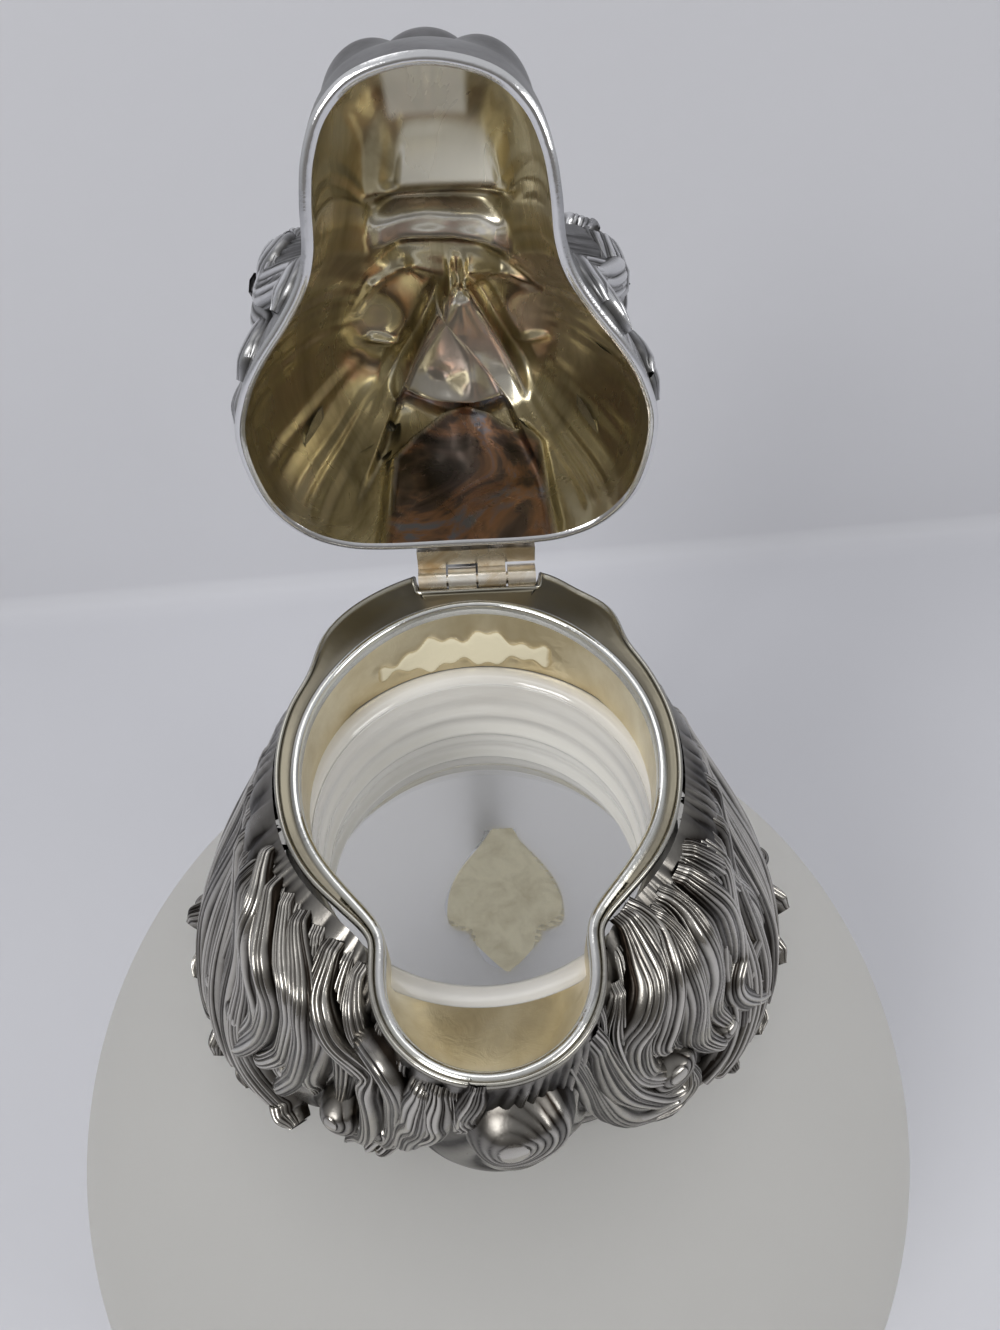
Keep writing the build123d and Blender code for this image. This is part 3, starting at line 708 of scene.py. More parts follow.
# Middle lines of the locks that stand out in the photograph, from the band down, in its pixels.
left_locks = [
    [(270, 840), (265, 867), (262, 900), (258, 933), (262, 960), (268, 993), (257, 1020), (240, 1030)],
    [(277, 873), (272, 907), (270, 940), (278, 967), (282, 993), (273, 1020), (253, 1037), (243, 1030)],
    [(287, 890), (285, 923), (287, 957), (297, 987), (300, 1013), (293, 1040), (273, 1050), (260, 1040)],
    [(303, 907), (302, 940), (307, 973), (313, 1000), (315, 1027), (307, 1057), (293, 1073), (283, 1070)],
    [(318, 923), (313, 957), (318, 990), (323, 1017), (323, 1040), (318, 1067), (323, 1087)],
    [(337, 937), (330, 960), (323, 987), (330, 1010), (347, 1033), (363, 1050), (377, 1070), (380, 1097)]
    + [(370, 1120), (350, 1133)],
    [(363, 960), (357, 987), (357, 1010), (370, 1033), (390, 1053), (403, 1080), (403, 1107)]
    + [(390, 1127), (367, 1137)],
    [(390, 1007), (390, 1033), (407, 1053), (423, 1080), (423, 1107), (410, 1123)],
    [(417, 1040), (423, 1060), (437, 1083), (437, 1107), (423, 1123)],
]
front_locks = [
    [(400, 1058), (405, 1080), (403, 1099), (392, 1119), (378, 1133), (367, 1141)],
    [(422, 1063), (425, 1083), (422, 1102), (411, 1119), (394, 1133), (375, 1141)],
    [(442, 1074), (444, 1091), (439, 1108), (425, 1122), (406, 1131)],
    [(456, 1091), (464, 1105), (467, 1116), (458, 1119)],
    [(478, 1086), (472, 1099), (464, 1113), (456, 1111)],
]
right_locks = [
    [(569, 1044), (576, 1065), (587, 1086), (601, 1097), (623, 1104), (634, 1104), (666, 1094)]
    + [(684, 1069), (680, 1054)],
    [(598, 1004), (591, 1033), (598, 1061), (619, 1083), (648, 1086), (673, 1072), (680, 1051)],
    [(616, 983), (609, 1015), (612, 1040), (630, 1065), (655, 1069), (669, 1054)],
    [(619, 911), (634, 936), (641, 969), (637, 1001), (626, 1026), (634, 1051), (651, 1058)],
    [(623, 904), (648, 926), (659, 954), (662, 983), (659, 1015), (651, 1036), (666, 1040)],
    [(644, 911), (666, 936), (676, 969), (680, 997), (684, 1022), (701, 1036), (716, 1026)],
    [(655, 890), (680, 911), (694, 940), (701, 972), (701, 997), (712, 1015), (719, 1019)],
    [(673, 869), (694, 886), (716, 915), (723, 947), (719, 976), (726, 994), (748, 990), (753, 979)],
    [(680, 847), (709, 858), (730, 883), (744, 915), (744, 944), (737, 961), (744, 972), (762, 951)],
]

mane_build = Build()
strand_v = np.linspace(-1.2, 1.2, 600)


def soften(rows, width):
    """A running mean down the rows of a table."""
    return np.stack([running_mean(column, width) for column in rows.T], axis=1)


def strand_profile(strands):
    """Height across a lock of rounded strands of uneven width and depth, at `strand_v`."""
    wide = rng.uniform(0.35, 1.5, strands) ** 1.2
    edges = 2 * np.concatenate([[0], np.cumsum(wide)]) / wide.sum() - 1
    which = np.clip(np.searchsorted(edges, strand_v, side="right") - 1, 0, strands - 1)
    half = 0.5 * (edges[which + 1] - edges[which])
    dome = half_circle((strand_v - edges[which] - half) / half)
    return dome * np.clip(0.45 + 0.4 * half * strands + rng.uniform(-0.2, 0.2, strands)[which], 0.3, 1.0)


def add_lock(
    build, frame_of, places, width, crown, strands, lift=0.2, depth=0.55, rows=56, taper=0.55, sink=1.5
):
    """One lock of hair: a ribbon along `places` on a surface, with uneven rounded strands on its back.

    `width` is half its width and `crown` the height of its middle, which stands `lift` off the surface.
    The strands are `depth` deep, and its edges reach `sink` under the surface.
    """
    line = catmull(places, rows)
    s = np.linspace(0, 1, rows)
    spot, normal = frame_of(line[:, 0], line[:, 1])
    spot, normal = soften(spot, 9), unit(soften(normal, 11))
    side = unit(np.cross(unit(np.gradient(spot, axis=0)), normal))
    v = np.linspace(-1, 1, strands * 6 + 1)[None, :]
    wide = width * (taper + (1 - taper) * smooth(0, 0.35, s)) * np.sqrt(1 - smooth(0.7, 1.04, s))
    high = crown * (0.2 + 0.8 * smooth(0.0, 0.45, s)) * (1 - 0.5 * smooth(0.85, 1.0, s))
    sway = rng.uniform(-1, 1, 4)
    wander = 0.20 * np.sin(6 * s[:, None] + 3 * sway[0]) + 0.09 * np.sin(15 * s[:, None] + 3 * sway[1])
    dome = np.interp(v + wander * (1 - v**2), strand_v, strand_profile(strands))
    arch = half_circle(v + 0.3 * np.sign(sway[2]) * (1 - v**2))
    cut_in = depth * (0.75 + 0.25 * np.sin(9 * s + 3 * sway[3])) * (0.5 + 0.5 * smooth(0, 0.15, s))
    # The wall is thin beside the spout, so less of a lock goes under the surface there.
    thin_wall = (smooth(0, -10, spot[:, 1]) * smooth(0.5, 0.25, line[:, 1]))[:, None]
    under = sink * (1 - 0.8 * thin_wall)
    rise = lift + high[:, None] * arch - cut_in[:, None] * (1 - dome) - under * (1 - arch) ** 2
    root = 0.45 * under + (lift + 0.2 * crown) * (1 - 0.4 * thin_wall)
    rise -= root * (1 - smooth(0, 0.07, s))[:, None]
    grid = spot[:, None, :] + side[:, None, :] * (wide[:, None] * v)[..., None]
    grid = grid + normal[:, None, :] * rise[..., None]
    ridge = np.clip(0.04 + 1.05 * dome**1.5 * (0.3 + 0.7 * arch), 0, 1)
    build.add(grid, {"ridge": ridge}, flip=True)


def photo_lock(pixels, width, lift, strands, crown=2.0, sink=1.5):
    """A lock along pixels of the photograph, as far as they fall on the casting."""
    places = []
    for pixel in pixels:
        place = place_of_pixel(pixel)
        miss = np.hypot(*(to_photo(mane_surface(*np.array(place))) - np.array(pixel)))
        if miss < 4 and place[1] < 1.25:
            places.append(place)
    if places[0][1] < 0.3:
        places[0] = (places[0][0], min(places[0][1], 0.03))
    for i in range(1, len(places)):
        turn = round((places[i][0] - places[i - 1][0]) / (2 * pi)) * 2 * pi
        places[i] = (places[i][0] - turn, places[i][1])
    add_lock(mane_build, mane_frame, places, width, crown, strands, lift, sink=sink)
    return places


def add_curl(pixel, size, crown, eye, rings):
    """A rounded curl end: a domed disc whose strands are crescents round its `eye`."""
    bulb, lift = 0.26, 0.3
    place = np.array(place_of_pixel(pixel))
    spot, normal = mane_frame(*place)
    across = unit(np.cross([0, 0, 1.0], normal))
    above = np.cross(normal, across)
    round_it = np.linspace(0, 2 * pi, 120, endpoint=False)
    r, theta = np.meshgrid(np.linspace(0.02, 1, 44), round_it, indexing="ij")
    u, v = r * np.cos(theta), r * np.sin(theta)
    gap = np.hypot(u - eye[0], v - eye[1])
    turn = np.arctan2(v - eye[1], u - eye[0])
    way = rings * (gap - bulb) * (1 + 0.10 * np.sin(2 * turn + 9 * place[0]))
    dome = half_circle(2 * (way % 1.0) - 1) * (0.8 + 0.2 * np.sin(2.9 * np.floor(way)))
    dome = np.where(way < 0, 1.0, dome)
    open_top = smooth(0.45, -0.1, v - eye[1] - 0.35 * (u - eye[0]))
    rise = lift + crown * np.sqrt(np.clip(1 - r**2.8, 0, 1)) - 1.2 * r**6 + 0.12 * crown * bell(gap, 0.5)
    rise = rise - 0.36 * (1 - dome) * open_top - 1.8 * smooth(0.5, 1.0, v)
    grid = spot + across * (u * size[0])[..., None] + above * (v * size[1])[..., None]
    grid = grid + normal * rise[..., None]
    shine = np.clip(0.04 + (0.06 + 0.94 * dome**1.6) * (1.0 - 0.45 * r**4), 0, 1)
    mane_build.add(grid, {"ridge": 0.5 + (shine - 0.5) * (0.35 + 0.65 * open_top)}, wrap_columns=True)


# The casting itself, with fine grooves that flow down it between the locks.
cast_a, cast_f = np.meshgrid(all_round[:-1], np.linspace(0, 0.97, 50), indexing="ij")
cast_f = cast_f * (1 - 0.16 * bell(cast_a + pi / 2, 0.5))
cast_spot, cast_normal = mane_frame(cast_a, cast_f)
flow = cast_a * 44 + 9 * np.sin(cast_f * 3.5 + 2 * np.cos(cast_a)) + 3.5 * np.sin(cast_a * 9)
grain_wave = np.abs(np.sin(flow)) ** 0.7 * (0.7 + 0.3 * np.sin(flow * 0.37))
start_in = smooth(0.0, 0.035, cast_f)
cast_spot = cast_spot + cast_normal * (0.6 * (grain_wave - 0.4) * start_in)[..., None]
shine = 0.62 * (1 - start_in) + (0.05 + 0.75 * grain_wave) * start_in
mane_build.add(cast_spot, {"ridge": shine}, wrap_rows=True, flip=True)
for group in (left_locks, right_locks):
    drawn = []
    for index, pixels in enumerate(group):
        drawn.append(photo_lock(pixels, width=2.1, lift=0.35 + 0.5 * (index % 2), strands=8 + index % 3))
    for first, second in zip(drawn, drawn[1:]):
        halfway = 0.5 * (catmull(first, 9) + catmull(second, 9))
        add_lock(mane_build, mane_frame, halfway, 1.7, 1.1, 7, lift=0.1)
for pixels in front_locks:
    photo_lock(pixels, lift=0.3, width=1.4, crown=1.2, strands=6, sink=0.5)
# The sides and back, which the photograph doesn't show, repeat the same kind of lock.
for index, start_angle in enumerate(np.radians(np.linspace(-20, 202, 42))):
    forward_turn = -radians(16) * cos(start_angle)
    swing = 0.06 * sin(index * 2.1) + 0.03 * sin(index * 5.3)
    long = 0.98 + 0.07 * sin(index * 3.7)
    hook = 0.07 * (1 if cos(start_angle) < 0 else -1)
    places = [(start_angle, 0.02), (start_angle + 0.2 * forward_turn + 0.3 * swing, 0.25)]
    places += [(start_angle + 0.5 * forward_turn + swing, 0.55)]
    places += [(start_angle + forward_turn + 0.6 * swing - 0.4 * hook, 0.84 * long)]
    places += [(start_angle + 1.15 * forward_turn + 0.4 * swing, long)]
    places += [(start_angle + 1.1 * forward_turn + hook, long + 0.06)]
    add_lock(mane_build, mane_frame, places, 2.4, 2.0, 8 + index % 3, lift=0.3 + 0.5 * (index % 2))

# Curl ends: pixel, half width and height, crown, place of the eye in the disc, and rings per half width.
for pixel, size, crown, eye, rings in (
    ((522, 1124), (5.3, 6.6), 2.5, (-0.26, 0.30), 8.0),
    ((347, 1104), (3.0, 4.2), 2.6, (-0.1, 0.3), 4.2),
    ((384, 1120), (3.4, 2.8), 1.8, (-0.7, 0.3), 4.4),
    ((664, 1064), (4.4, 3.8), 2.2, (0.0, 0.35), 5.4),
    ((716, 1022), (3.2, 3.0), 2.0, (0.0, 0.4), 4.4),
    ((247, 1010), (4.0, 3.6), 2.0, (0.2, 0.4), 5.4),
    ((222, 980), (2.4, 2.6), 1.6, (0.1, 0.4), 3.6),
    ((210, 905), (2.0, 3.0), 1.6, (0.1, 0.4), 3.6),
    ((292, 1064), (3.2, 2.6), 1.6, (0.2, 0.4), 4.4),
    ((750, 938), (2.6, 3.2), 1.5, (-0.1, 0.4), 4.0),
    ((755, 858), (2.2, 2.8), 1.5, (-0.1, 0.4), 3.6),
):
    add_curl(pixel, size, crown, eye, rings)
mane_piece = mane_build.finish("mane", [mane_silver])
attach(mane_piece, "jug")
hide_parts("mane_collar", "neck_cement")

# ------------------------------------------------------------------ lid
# Right half of the lid's hollow at the rim, from the middle of its back to the middle of its front.
lid_x, lid_back_y, lid_columns, lid_rows, hollow_rows = -1.4, 21.7, 480, 90, 130
lid_half = [(0, lid_back_y), (8, lid_back_y), (12.6, 21.1), (16.4, 19.2), (19.2, 15.6), (20.4, 10.5)]
lid_half += [(20.3, 5.4), (18.7, 0.8), (16.5, -3.0), (13.4, -7.0), (11.3, -10.2), (10.2, -13.3)]
lid_half += [(9.7, -17.2), (9.0, -20.4), (7.5, -23.3), (4.7, -25.4), (0, -26.3)]
lid_points = [(lid_x + x, y) for x, y in lid_half] + [(lid_x - x, y) for x, y in lid_half[-2:0:-1]]
lid_line = catmull(lid_points, lid_columns, closed=True)
lid_out = outline_normals(lid_line)
lid_out *= np.sign((lid_out * (lid_line - lid_line.mean(axis=0))).sum())
lid_pole = np.array([lid_x, 7.0])
lid_gap, lid_wall, roof_wall = 0.8, 1.0, 2.2
# Height of the hollow's roof over the level rim, along the middle of the shut lid.
roof = [(-28.0, 7.0), (-26.5, 8.0), (-24.5, 9.5), (-22.0, 11.0), (-17.0, 12.8), (-12.0, 14.0)]
roof += [(-10.4, 15.6), (-8.8, 16.3), (-5.7, 17.8), (-3.6, 19.0), (-0.5, 20.5), (3.6, 22.5), (9.0, 25.0)]
roof += [(14.0, 26.0), (19.0, 25.4), (21.7, 24.5), (24.0, 23.5)]
roof_y, roof_h = np.array(roof).T


def roof_height(y):
    """The softened height of the roof."""
    fine = np.linspace(roof_y[0] - 5, roof_y[-1] + 5, 800)
    soft = int(2.4 / (fine[1] - fine[0]))
    return np.interp(y, fine, running_mean(np.interp(fine, roof_y, roof_h), soft)[: len(fine)])


def segment_gap(x, y, start, end):
    """Distance of points from a line segment."""
    ax, ay, bx, by = *start, *end
    dx, dy = bx - ax, by - ay
    share = np.clip(((x - ax) * dx + (y - ay) * dy) / (dx * dx + dy * dy), 0, 1)
    return np.hypot(x - ax - share * dx, y - ay - share * dy)


def lid_depth(y):
    """How far up from the hinge a place of the roof is seen on the open lid, in millimetres."""
    return 4.5 + (lid_back_y - y) / 1.034


def oval(x, d, at, size, power=1.0):
    """1 in the middle of an oval spot, falling off the more sharply the higher the power."""
    return np.exp(-((((x - at[0]) / size[0]) ** 2 + ((d - at[1]) / size[1]) ** 2) ** power))


def inside_relief(x, y):
    """How far the roof of the hollow stands in, how silvery it is, where it is cream or has a painted
    highlight, and where painted shade darkens it.
    """
    d = lid_depth(y)
    aside = np.abs(x)
    relief, silvery, cream, gloom = 0 * x, 0 * x, 0 * x, 0 * x

    # The flat cream panel under the crown, with a painted shade line along the step under it, and a fold
    # and a trough on each side of it.
    panel_half = np.interp(d, [37.5, 42, 48.5], [4.9, 4.0, 3.5])
    panel = smooth(0.5, -0.5, np.abs(x + 0.2) - panel_half)
    panel = panel * smooth(37.4, 38.3, d) * smooth(52.0, 50.0, d)
    relief += panel * (roof_height(y) - 12.6)
    relief += 0.7 * bell(d - 37.3, 0.6) * smooth(7.2, 6.0, aside)
    relief -= bell(d - 35.9, 0.8) * smooth(9.5, 8.0, aside)
    gloom += 0.8 * bell(d - 36.2, 0.45) * smooth(8.5, 7.0, aside)
    cream += panel
    for side in (-1, 1):
        relief += 0.9 * bell(segment_gap(x, d, (side * 7.4, 36), (side * 5.4, 50)), 1.1)
        relief -= 0.8 * bell(segment_gap(x, d, (side * 9.4, 30), (side * 8.4, 49)), 1.0)

    # The silvery bar across the middle, with two painted highlights on it as cream ovals, painted shade
    # over its right side and a painted shade line in the groove under it.
    bar_d = np.interp(x, [-9.5, -5, 0, 5, 9.5], [32.4, 33.2, 33.0, 32.0, 30.0])
    bar = np.exp(-(((d - bar_d) / 2.1) ** 4)) * smooth(11.6, 9.6, aside)
    relief += 2.2 * bar
    silvery += 0.95 * bar
    for at in (-2.5, 2.2):
        relief -= 0.45 * oval(x, d, (at, 33.4 - 0.1 * at), (2.0, 0.8))
        cream += 0.5 * oval(x, d, (at, 33.5 - 0.1 * at), (1.7, 0.6), 2)
    gloom += 0.75 * smooth(3.5, 8.5, x) * bar
    gloom += 0.7 * bell(d - bar_d + 3.0, 0.8) * smooth(10, 8, aside) * (0.6 + 0.4 * np.sin(1.3 * x + 1))
    relief -= 0.9 * bell(d - bar_d + 3.2, 1.0) * smooth(11, 9, aside)

    # On each side a brow, an eye socket with a painted highlight in it, brighter on the left, a lid under
    # it, and a fold down the cheek with a painted shade line along it.
    left_brow = [(-11.5, 22.5), (-9.0, 26.2), (-5.4, 27.7), (-1.6, 26.0)]
    right_brow = [(12.2, 21.5), (9.0, 25.6), (5.1, 27.0), (1.6, 26.0)]
    for side, brow in ((-1, left_brow), (1, right_brow)):
        for first, second in zip(brow, brow[1:]):
            relief += 0.5 * bell(segment_gap(x, d, first, second), 0.7)
        relief += 1.9 * oval(x, d, (side * 8.2, 20.5), (4.6, 5.4), 1.5)
        relief -= 0.9 * oval(x, d, (side * 9.0 - 0.4, 21.2), (2.6, 3.2), 2)
        cream += (0.40 if side < 0 else 0.28) * oval(x, d, (side * 9.0 - 0.4, 21.0), (2.6, 3.0), 2)
        relief += 0.8 * bell(segment_gap(x, d, (side * 7.4, 16.8), (side * 10.2, 18.0)), 0.6)
        end = (-9.2, 6.8) if side < 0 else (10.2, 5.6)
        ridge = segment_gap(x, d, (0.4 + side * 0.7, 24.5), end)
        groove = segment_gap(x, d, (0.4 + side * 2.6, 23.5), (end[0] + side * 2.2, end[1] + 0.4))
        relief += 1.4 * bell(ridge, 0.6) - 1.1 * bell(groove, 1.1)
        dark_line = segment_gap(x, d, (0.4 + side * 1.6, 23.0), (end[0] + side * 0.4, end[1]))
        gloom += 0.55 * bell(dark_line, 0.45)

    # The silvery triangle of the nose, down to the groove over the hinge, which has a painted shade line
    # along it.
    share = (24.5 - d) / 17.0
    half = 9.0 * share + 0.2
    triangle = smooth(0.5, -0.5, np.abs(x - 0.4) - half) * smooth(1.06, 0.96, share)
    triangle = triangle * smooth(0.05, 0.15, share)
    relief += 1.5 * triangle * np.clip(1 - (np.abs(x - 0.4) / (half + 0.3)) ** 2, 0, 1)
    relief += 0.8 * oval(x, d, (1.6, 11.0), (1.5, 2.6)) - 0.6 * oval(x, d, (-2.2, 10.2), (1.6, 2.0))
    silvery += 0.9 * triangle
    relief -= 1.7 * bell(d - 6.7 - 0.03 * x**2, 0.75) * smooth(10.5, 9.0, aside)
    gloom += 0.95 * bell(d - 6.7 - 0.03 * x**2, 0.7) * smooth(10.5, 9.0, aside)
    relief += 0.6 * bell(np.abs(x - 0.2) - 0.8, 0.4) * smooth(23.5, 24.5, d) * smooth(28.5, 27.0, d)

    relief = np.maximum(relief * smooth(19.0, 15.0, aside), -1.1)
    return relief, np.clip(silvery, 0, 1), np.clip(cream, 0, 1), np.clip(gloom, 0, 1)


def arch_relief(x, height):
    """The pointed arch on the hollow's back wall: how far it bulges and where its face gets painted dark
    reflections.
    """
    out = np.abs(x - 0.3) - np.interp(height, [0, 2, 15, 19, 22, 24], [10.2, 9.8, 9.4, 7.0, 3.4, 0.0])
    face = smooth(0.45, -0.45, out) * smooth(24.3, 23.6, height)
    edge = bell(out, 0.5) * smooth(25.0, 24.0, height)
    return 1.1 * face * np.clip(1 - ((x - lid_x) / 12) ** 2, 0, 1) + 0.7 * edge, face * (1 - edge)


def lid_surface(outer, rows):
    """Rows of points from the rim (first) to the crown (last) in the shut position, and their marks."""
    edge = lid_line + lid_out * (lid_wall if outer else 0.0)
    rim = rim_height(edge[:, 1]) + lid_gap
    back = smooth(19.5, 21.5, lid_line[:, 1]) * smooth(12.5, 9.5, np.abs(lid_line[:, 0] - lid_x))
    front = smooth(-8, -16, lid_line[:, 1])
    power = 3.0 + 5.0 * back + 0.8 * front
    grid, shown = [], []
    length = np.cumsum(np.linalg.norm(np.roll(lid_line, -1, axis=0) - lid_line, axis=1))
    folds = np.sin(length * 1.9 + 2.0 * np.sin(length * 0.35)) * (0.6 + 0.4 * np.sin(length * 0.8))
    for s in np.linspace(0, 1, rows):
        # The last row stays a ring of almost no width, so that no face there is a sliver.
        theta = s * pi / 2
        shrink = cos(theta) ** (2 / power) if s < 1 else 0.004 + 0 * power
        rise = sin(theta) ** (2 / power) if s else 0 * power
        spot = lid_pole + (edge - lid_pole) * shrink[:, None]
        top = roof_height(spot[:, 1]) + (roof_wall if outer else 0.0)
        level = rim + (rim_z + top - rim) * rise
        spot[:, 0] = lid_x + (spot[:, 0] - lid_x) * (1 - 0.17 * smooth(2, 20, level - rim))
        marks = np.zeros((3, len(spot)))
        if not outer:
            flat = smooth(0.80, 0.97, rise) * (1 - back * smooth(0.90, 0.98, shrink))
            relief, *marks = inside_relief(spot[:, 0], spot[:, 1])
            level = level - relief * flat
            marks = np.array(marks) * flat
            wall = smooth(0.02, 0.2, rise) * smooth(0.98, 0.7, rise) * (1 - back)
            spot = spot - lid_out * (0.14 * folds * wall)[:, None]
            # The face of the arch gets painted dark reflections, laid into the same mark as the painted
            # shade.
            bulge, dark = arch_relief(spot[:, 0], level - rim)
            on_wall = smooth(20.0, 21.0, lid_line[:, 1]) * smooth(0.80, 0.93, shrink)
            spot[:, 1] -= bulge * on_wall * smooth(0, 0.08, rise)
            marks[2] = np.maximum(marks[2], dark * on_wall)
            strip = smooth(0.4, -0.4, np.abs(spot[:, 0] - lid_x + 0.2) - 3.5)
            strip = strip * smooth(-18.5, -20.0, spot[:, 1]) * smooth(0.03, 0.1, rise)
            marks[1] = np.maximum(marks[1], strip * smooth(0.97, 0.9, rise))
        grid.append(np.column_stack([spot, level]))
        shown.append(marks)
    return np.array(grid), np.transpose(np.array(shown), (1, 0, 2))


def opened(points):
    """Turns shut-lid points open about the hinge."""
    swing = radians(open_angle)
    x, y, z = points[..., 0], points[..., 1] - hinge_y, points[..., 2] - hinge_z
    turned_y, turned_z = y * cos(swing) + z * sin(swing), z * cos(swing) - y * sin(swing)
    return np.stack([x, hinge_y + turned_y, hinge_z + turned_z], axis=-1)


def sampled(grid):
    """Reads point and outward normal between the rows and columns of a grid closed round its columns."""
    along = np.roll(grid, -1, axis=1) - np.roll(grid, 1, axis=1)
    normals = unit(np.cross(along, np.gradient(grid, axis=0)))
    normals *= np.sign((normals * (grid - grid.mean(axis=(0, 1)))).sum())

    def frame_of(around, upward):
        rows, columns = grid.shape[:2]
        i = np.clip(upward, 0, 0.999) * (rows - 1)
        j = (around % 1.0) * columns
        i0, j0 = i.astype(int), j.astype(int) % columns
        i1, j1 = np.minimum(i0 + 1, rows - 1), (j0 + 1) % columns
        a, b = (i - i0)[:, None], (j - np.floor(j))[:, None]

        def read(table):
            lower = (1 - b) * table[i0, j0] + b * table[i0, j1]
            return (1 - a) * lower + a * ((1 - b) * table[i1, j0] + b * table[i1, j1])

        return read(grid), unit(read(normals))

    return frame_of


# Swellings of the head, as middle from the lid's middle line and the level rim, and radii: nose, bridge,
# then brow, lip, eye and cheek on each side.
head_eggs = [((0.0, -22.2, 10.4), (4.4, 3.6, 3.8)), ((0.0, -14.0, 13.6), (4.2, 10.0, 4.4))]
for side in (-1, 1):
    head_eggs += [
        ((side * 8.0, -2.4, 21.4), (6.8, 4.2, 4.4)),
        ((side * 4.2, -20.8, 6.0), (4.8, 5.4, 5.0)),
        ((side * 7.4, -9.0, 16.4), (2.9, 2.7, 2.7)),
        ((side * 12.6, -1.0, 10.0), (5.8, 8.0, 7.6)),
    ]


def pushed_out(points):
    """Moves the lid's outer points out to the swellings of the lion's head."""
    bowl_middle, muzzle_middle = [lid_x, 4.0, rim_z + 2.0], [lid_x, -14.0, rim_z + 2.0]
    middle = np.where(points[..., 1:2] < -6, muzzle_middle, bowl_middle)
    ray = points - middle
    far = np.linalg.norm(ray, axis=-1)
    ray = ray / far[..., None]
    soft = 0.9
    for centre, radii in head_eggs:
        start = (middle - np.array([lid_x + centre[0], centre[1], rim_z + centre[2]])) / radii
        way = ray / radii
        a, b, c = (way**2).sum(-1), (start * way).sum(-1), (start**2).sum(-1) - 1
        root = b**2 - a * c
        hit = np.where(root > 0, (-b + np.sqrt(np.maximum(root, 0))) / a, 0)
        gap = hit - far
        far = far + np.where(gap > -soft, np.where(gap > soft, gap, (gap + soft) ** 2 / (4 * soft)), 0)
    return middle + ray * far[..., None]


inner_lid, (lid_silvery, lid_cream_and_highlight, lid_gloom) = lid_surface(False, hollow_rows)
outer_lid, _ = lid_surface(True, lid_rows)
outer_lid[4:] = pushed_out(outer_lid[4:])
lid_build = Build()
lid_marks = {"ridge": 0.5, "silvery": lid_silvery, "cream": lid_cream_and_highlight, "gloom": lid_gloom}
lid_build.add(opened(inner_lid), lid_marks, wrap_columns=True, flip=True)
lid_build.slot = 1
groove_turn = np.arange(lid_columns) * 2 * pi * 110 / lid_columns
strand = 0.5 + 0.5 * np.cos(groove_turn + 3 * np.sin(np.linspace(0, 5, lid_rows))[:, None])
fur = 0.35 + 0.4 * strand * smooth(-8, -2, outer_lid[..., 1])
lid_build.add(opened(outer_lid), {"ridge": fur}, wrap_columns=True)
edge_rows = []
for t in np.linspace(0, 1, 7):
    across = inner_lid[0] + (outer_lid[0] - inner_lid[0]) * t
    across[:, 2] -= 0.3 * sin(pi * t)
    edge_rows.append(across)
lid_build.add(opened(np.array(edge_rows)), {"ridge": 1.0}, wrap_columns=True)

# Three rings of the head's own hair, as the shares of the way up the lid where a ring's locks end and
# start, their count and half width. A share of the way round is 0 in the middle of the back.
head_frame = sampled(opened(outer_lid))
head_hair = {"lift": 0.15, "depth": 0.4, "rows": 36, "taper": 0.35, "sink": 0.3}
hair_rings = ((0.02, 0.42, 34, 2.3), (0.22, 0.62, 28, 2.2), (0.42, 0.86, 22, 2.2))
for ring, (low, high, count, wide) in enumerate(hair_rings):
    for index in range(count):
        base = (index + 0.5 * (ring % 2)) / count - 0.5
        if abs(base) > 0.29 - 0.02 * ring:
            continue
        curl = 0.012 * sin(index * 2.3 + ring) + 0.016 * (1 if base > 0 else -1)
        places = [(base - 0.6 * curl, high), (base, 0.66 * high + 0.34 * low)]
        places += [(base + 0.9 * curl, 0.3 * high + 0.7 * low)]
        places += [(base + 1.3 * curl, low + 0.04), (base + 0.4 * curl, low)]
        add_lock(lid_build, head_frame, places, wide, 1.1, 5 + index % 3, **head_hair)

# The ears: middle from the lid's middle line and the level rim, half widths, turn, and how near the
# middle line they come, which keeps their roots out of the hollow.
ear_at, ear_radii, ear_turn, ear_root = (17.0, 16.5, 16.0), (4.4, 3.2, 5.2), radians(38), 15.2
round_it = np.linspace(0, 2 * pi, 64, endpoint=False)
u, v = np.meshgrid(np.linspace(0.001, pi - 0.001, 40), round_it, indexing="ij")
ball = np.stack([np.sin(u) * np.cos(v), -np.cos(u), np.sin(u) * np.sin(v)], axis=-1)
hollow = 0.75 * oval(ball[..., 0], ball[..., 2], (0, 0.15), (0.62, 0.72), 1.5) * (ball[..., 1] < 0)
ear = ball * np.array(ear_radii)
ear[..., 1] += hollow * 4.2
ear[..., 1] += 0.15 * np.sin(v * 9) * np.sin(u) * (ball[..., 1] > 0)
ear[..., 2] += 1.4 * smooth(0.2, 1.0, ball[..., 2]) * (1 - np.abs(ball[..., 0]))
ear_x = ear_at[0] + 0.9 * (ear[..., 0] * cos(ear_turn) - ear[..., 1] * sin(ear_turn))
ear_y = ear_at[1] + ear[..., 0] * sin(ear_turn) + ear[..., 1] * cos(ear_turn)
ear_z = ear_at[2] + ear[..., 2]
ear_x = np.maximum(ear_x, ear_root + 0.42 * np.maximum(16.0 - ear_z, 0))
for side in (-1, 1):
    placed = np.stack([lid_x + side * ear_x, ear_y, rim_z + ear_z], axis=-1)
    lid_build.add(opened(placed), {"ridge": 0.75 - 0.6 * hollow}, wrap_columns=True, flip=side > 0)

lid_piece = lid_build.finish("lion_lid", [lid_inside, fur_silver])
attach(lid_piece, "lid")
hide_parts("lid_shell", "crown_patch")

# ------------------------------------------------------------------ CAD pieces that are kept
def dress(name, material):
    """Gives a piece of the CAD model its look."""
    held = bpy.data.objects[name].data.materials
    held.clear()
    held.append(material)


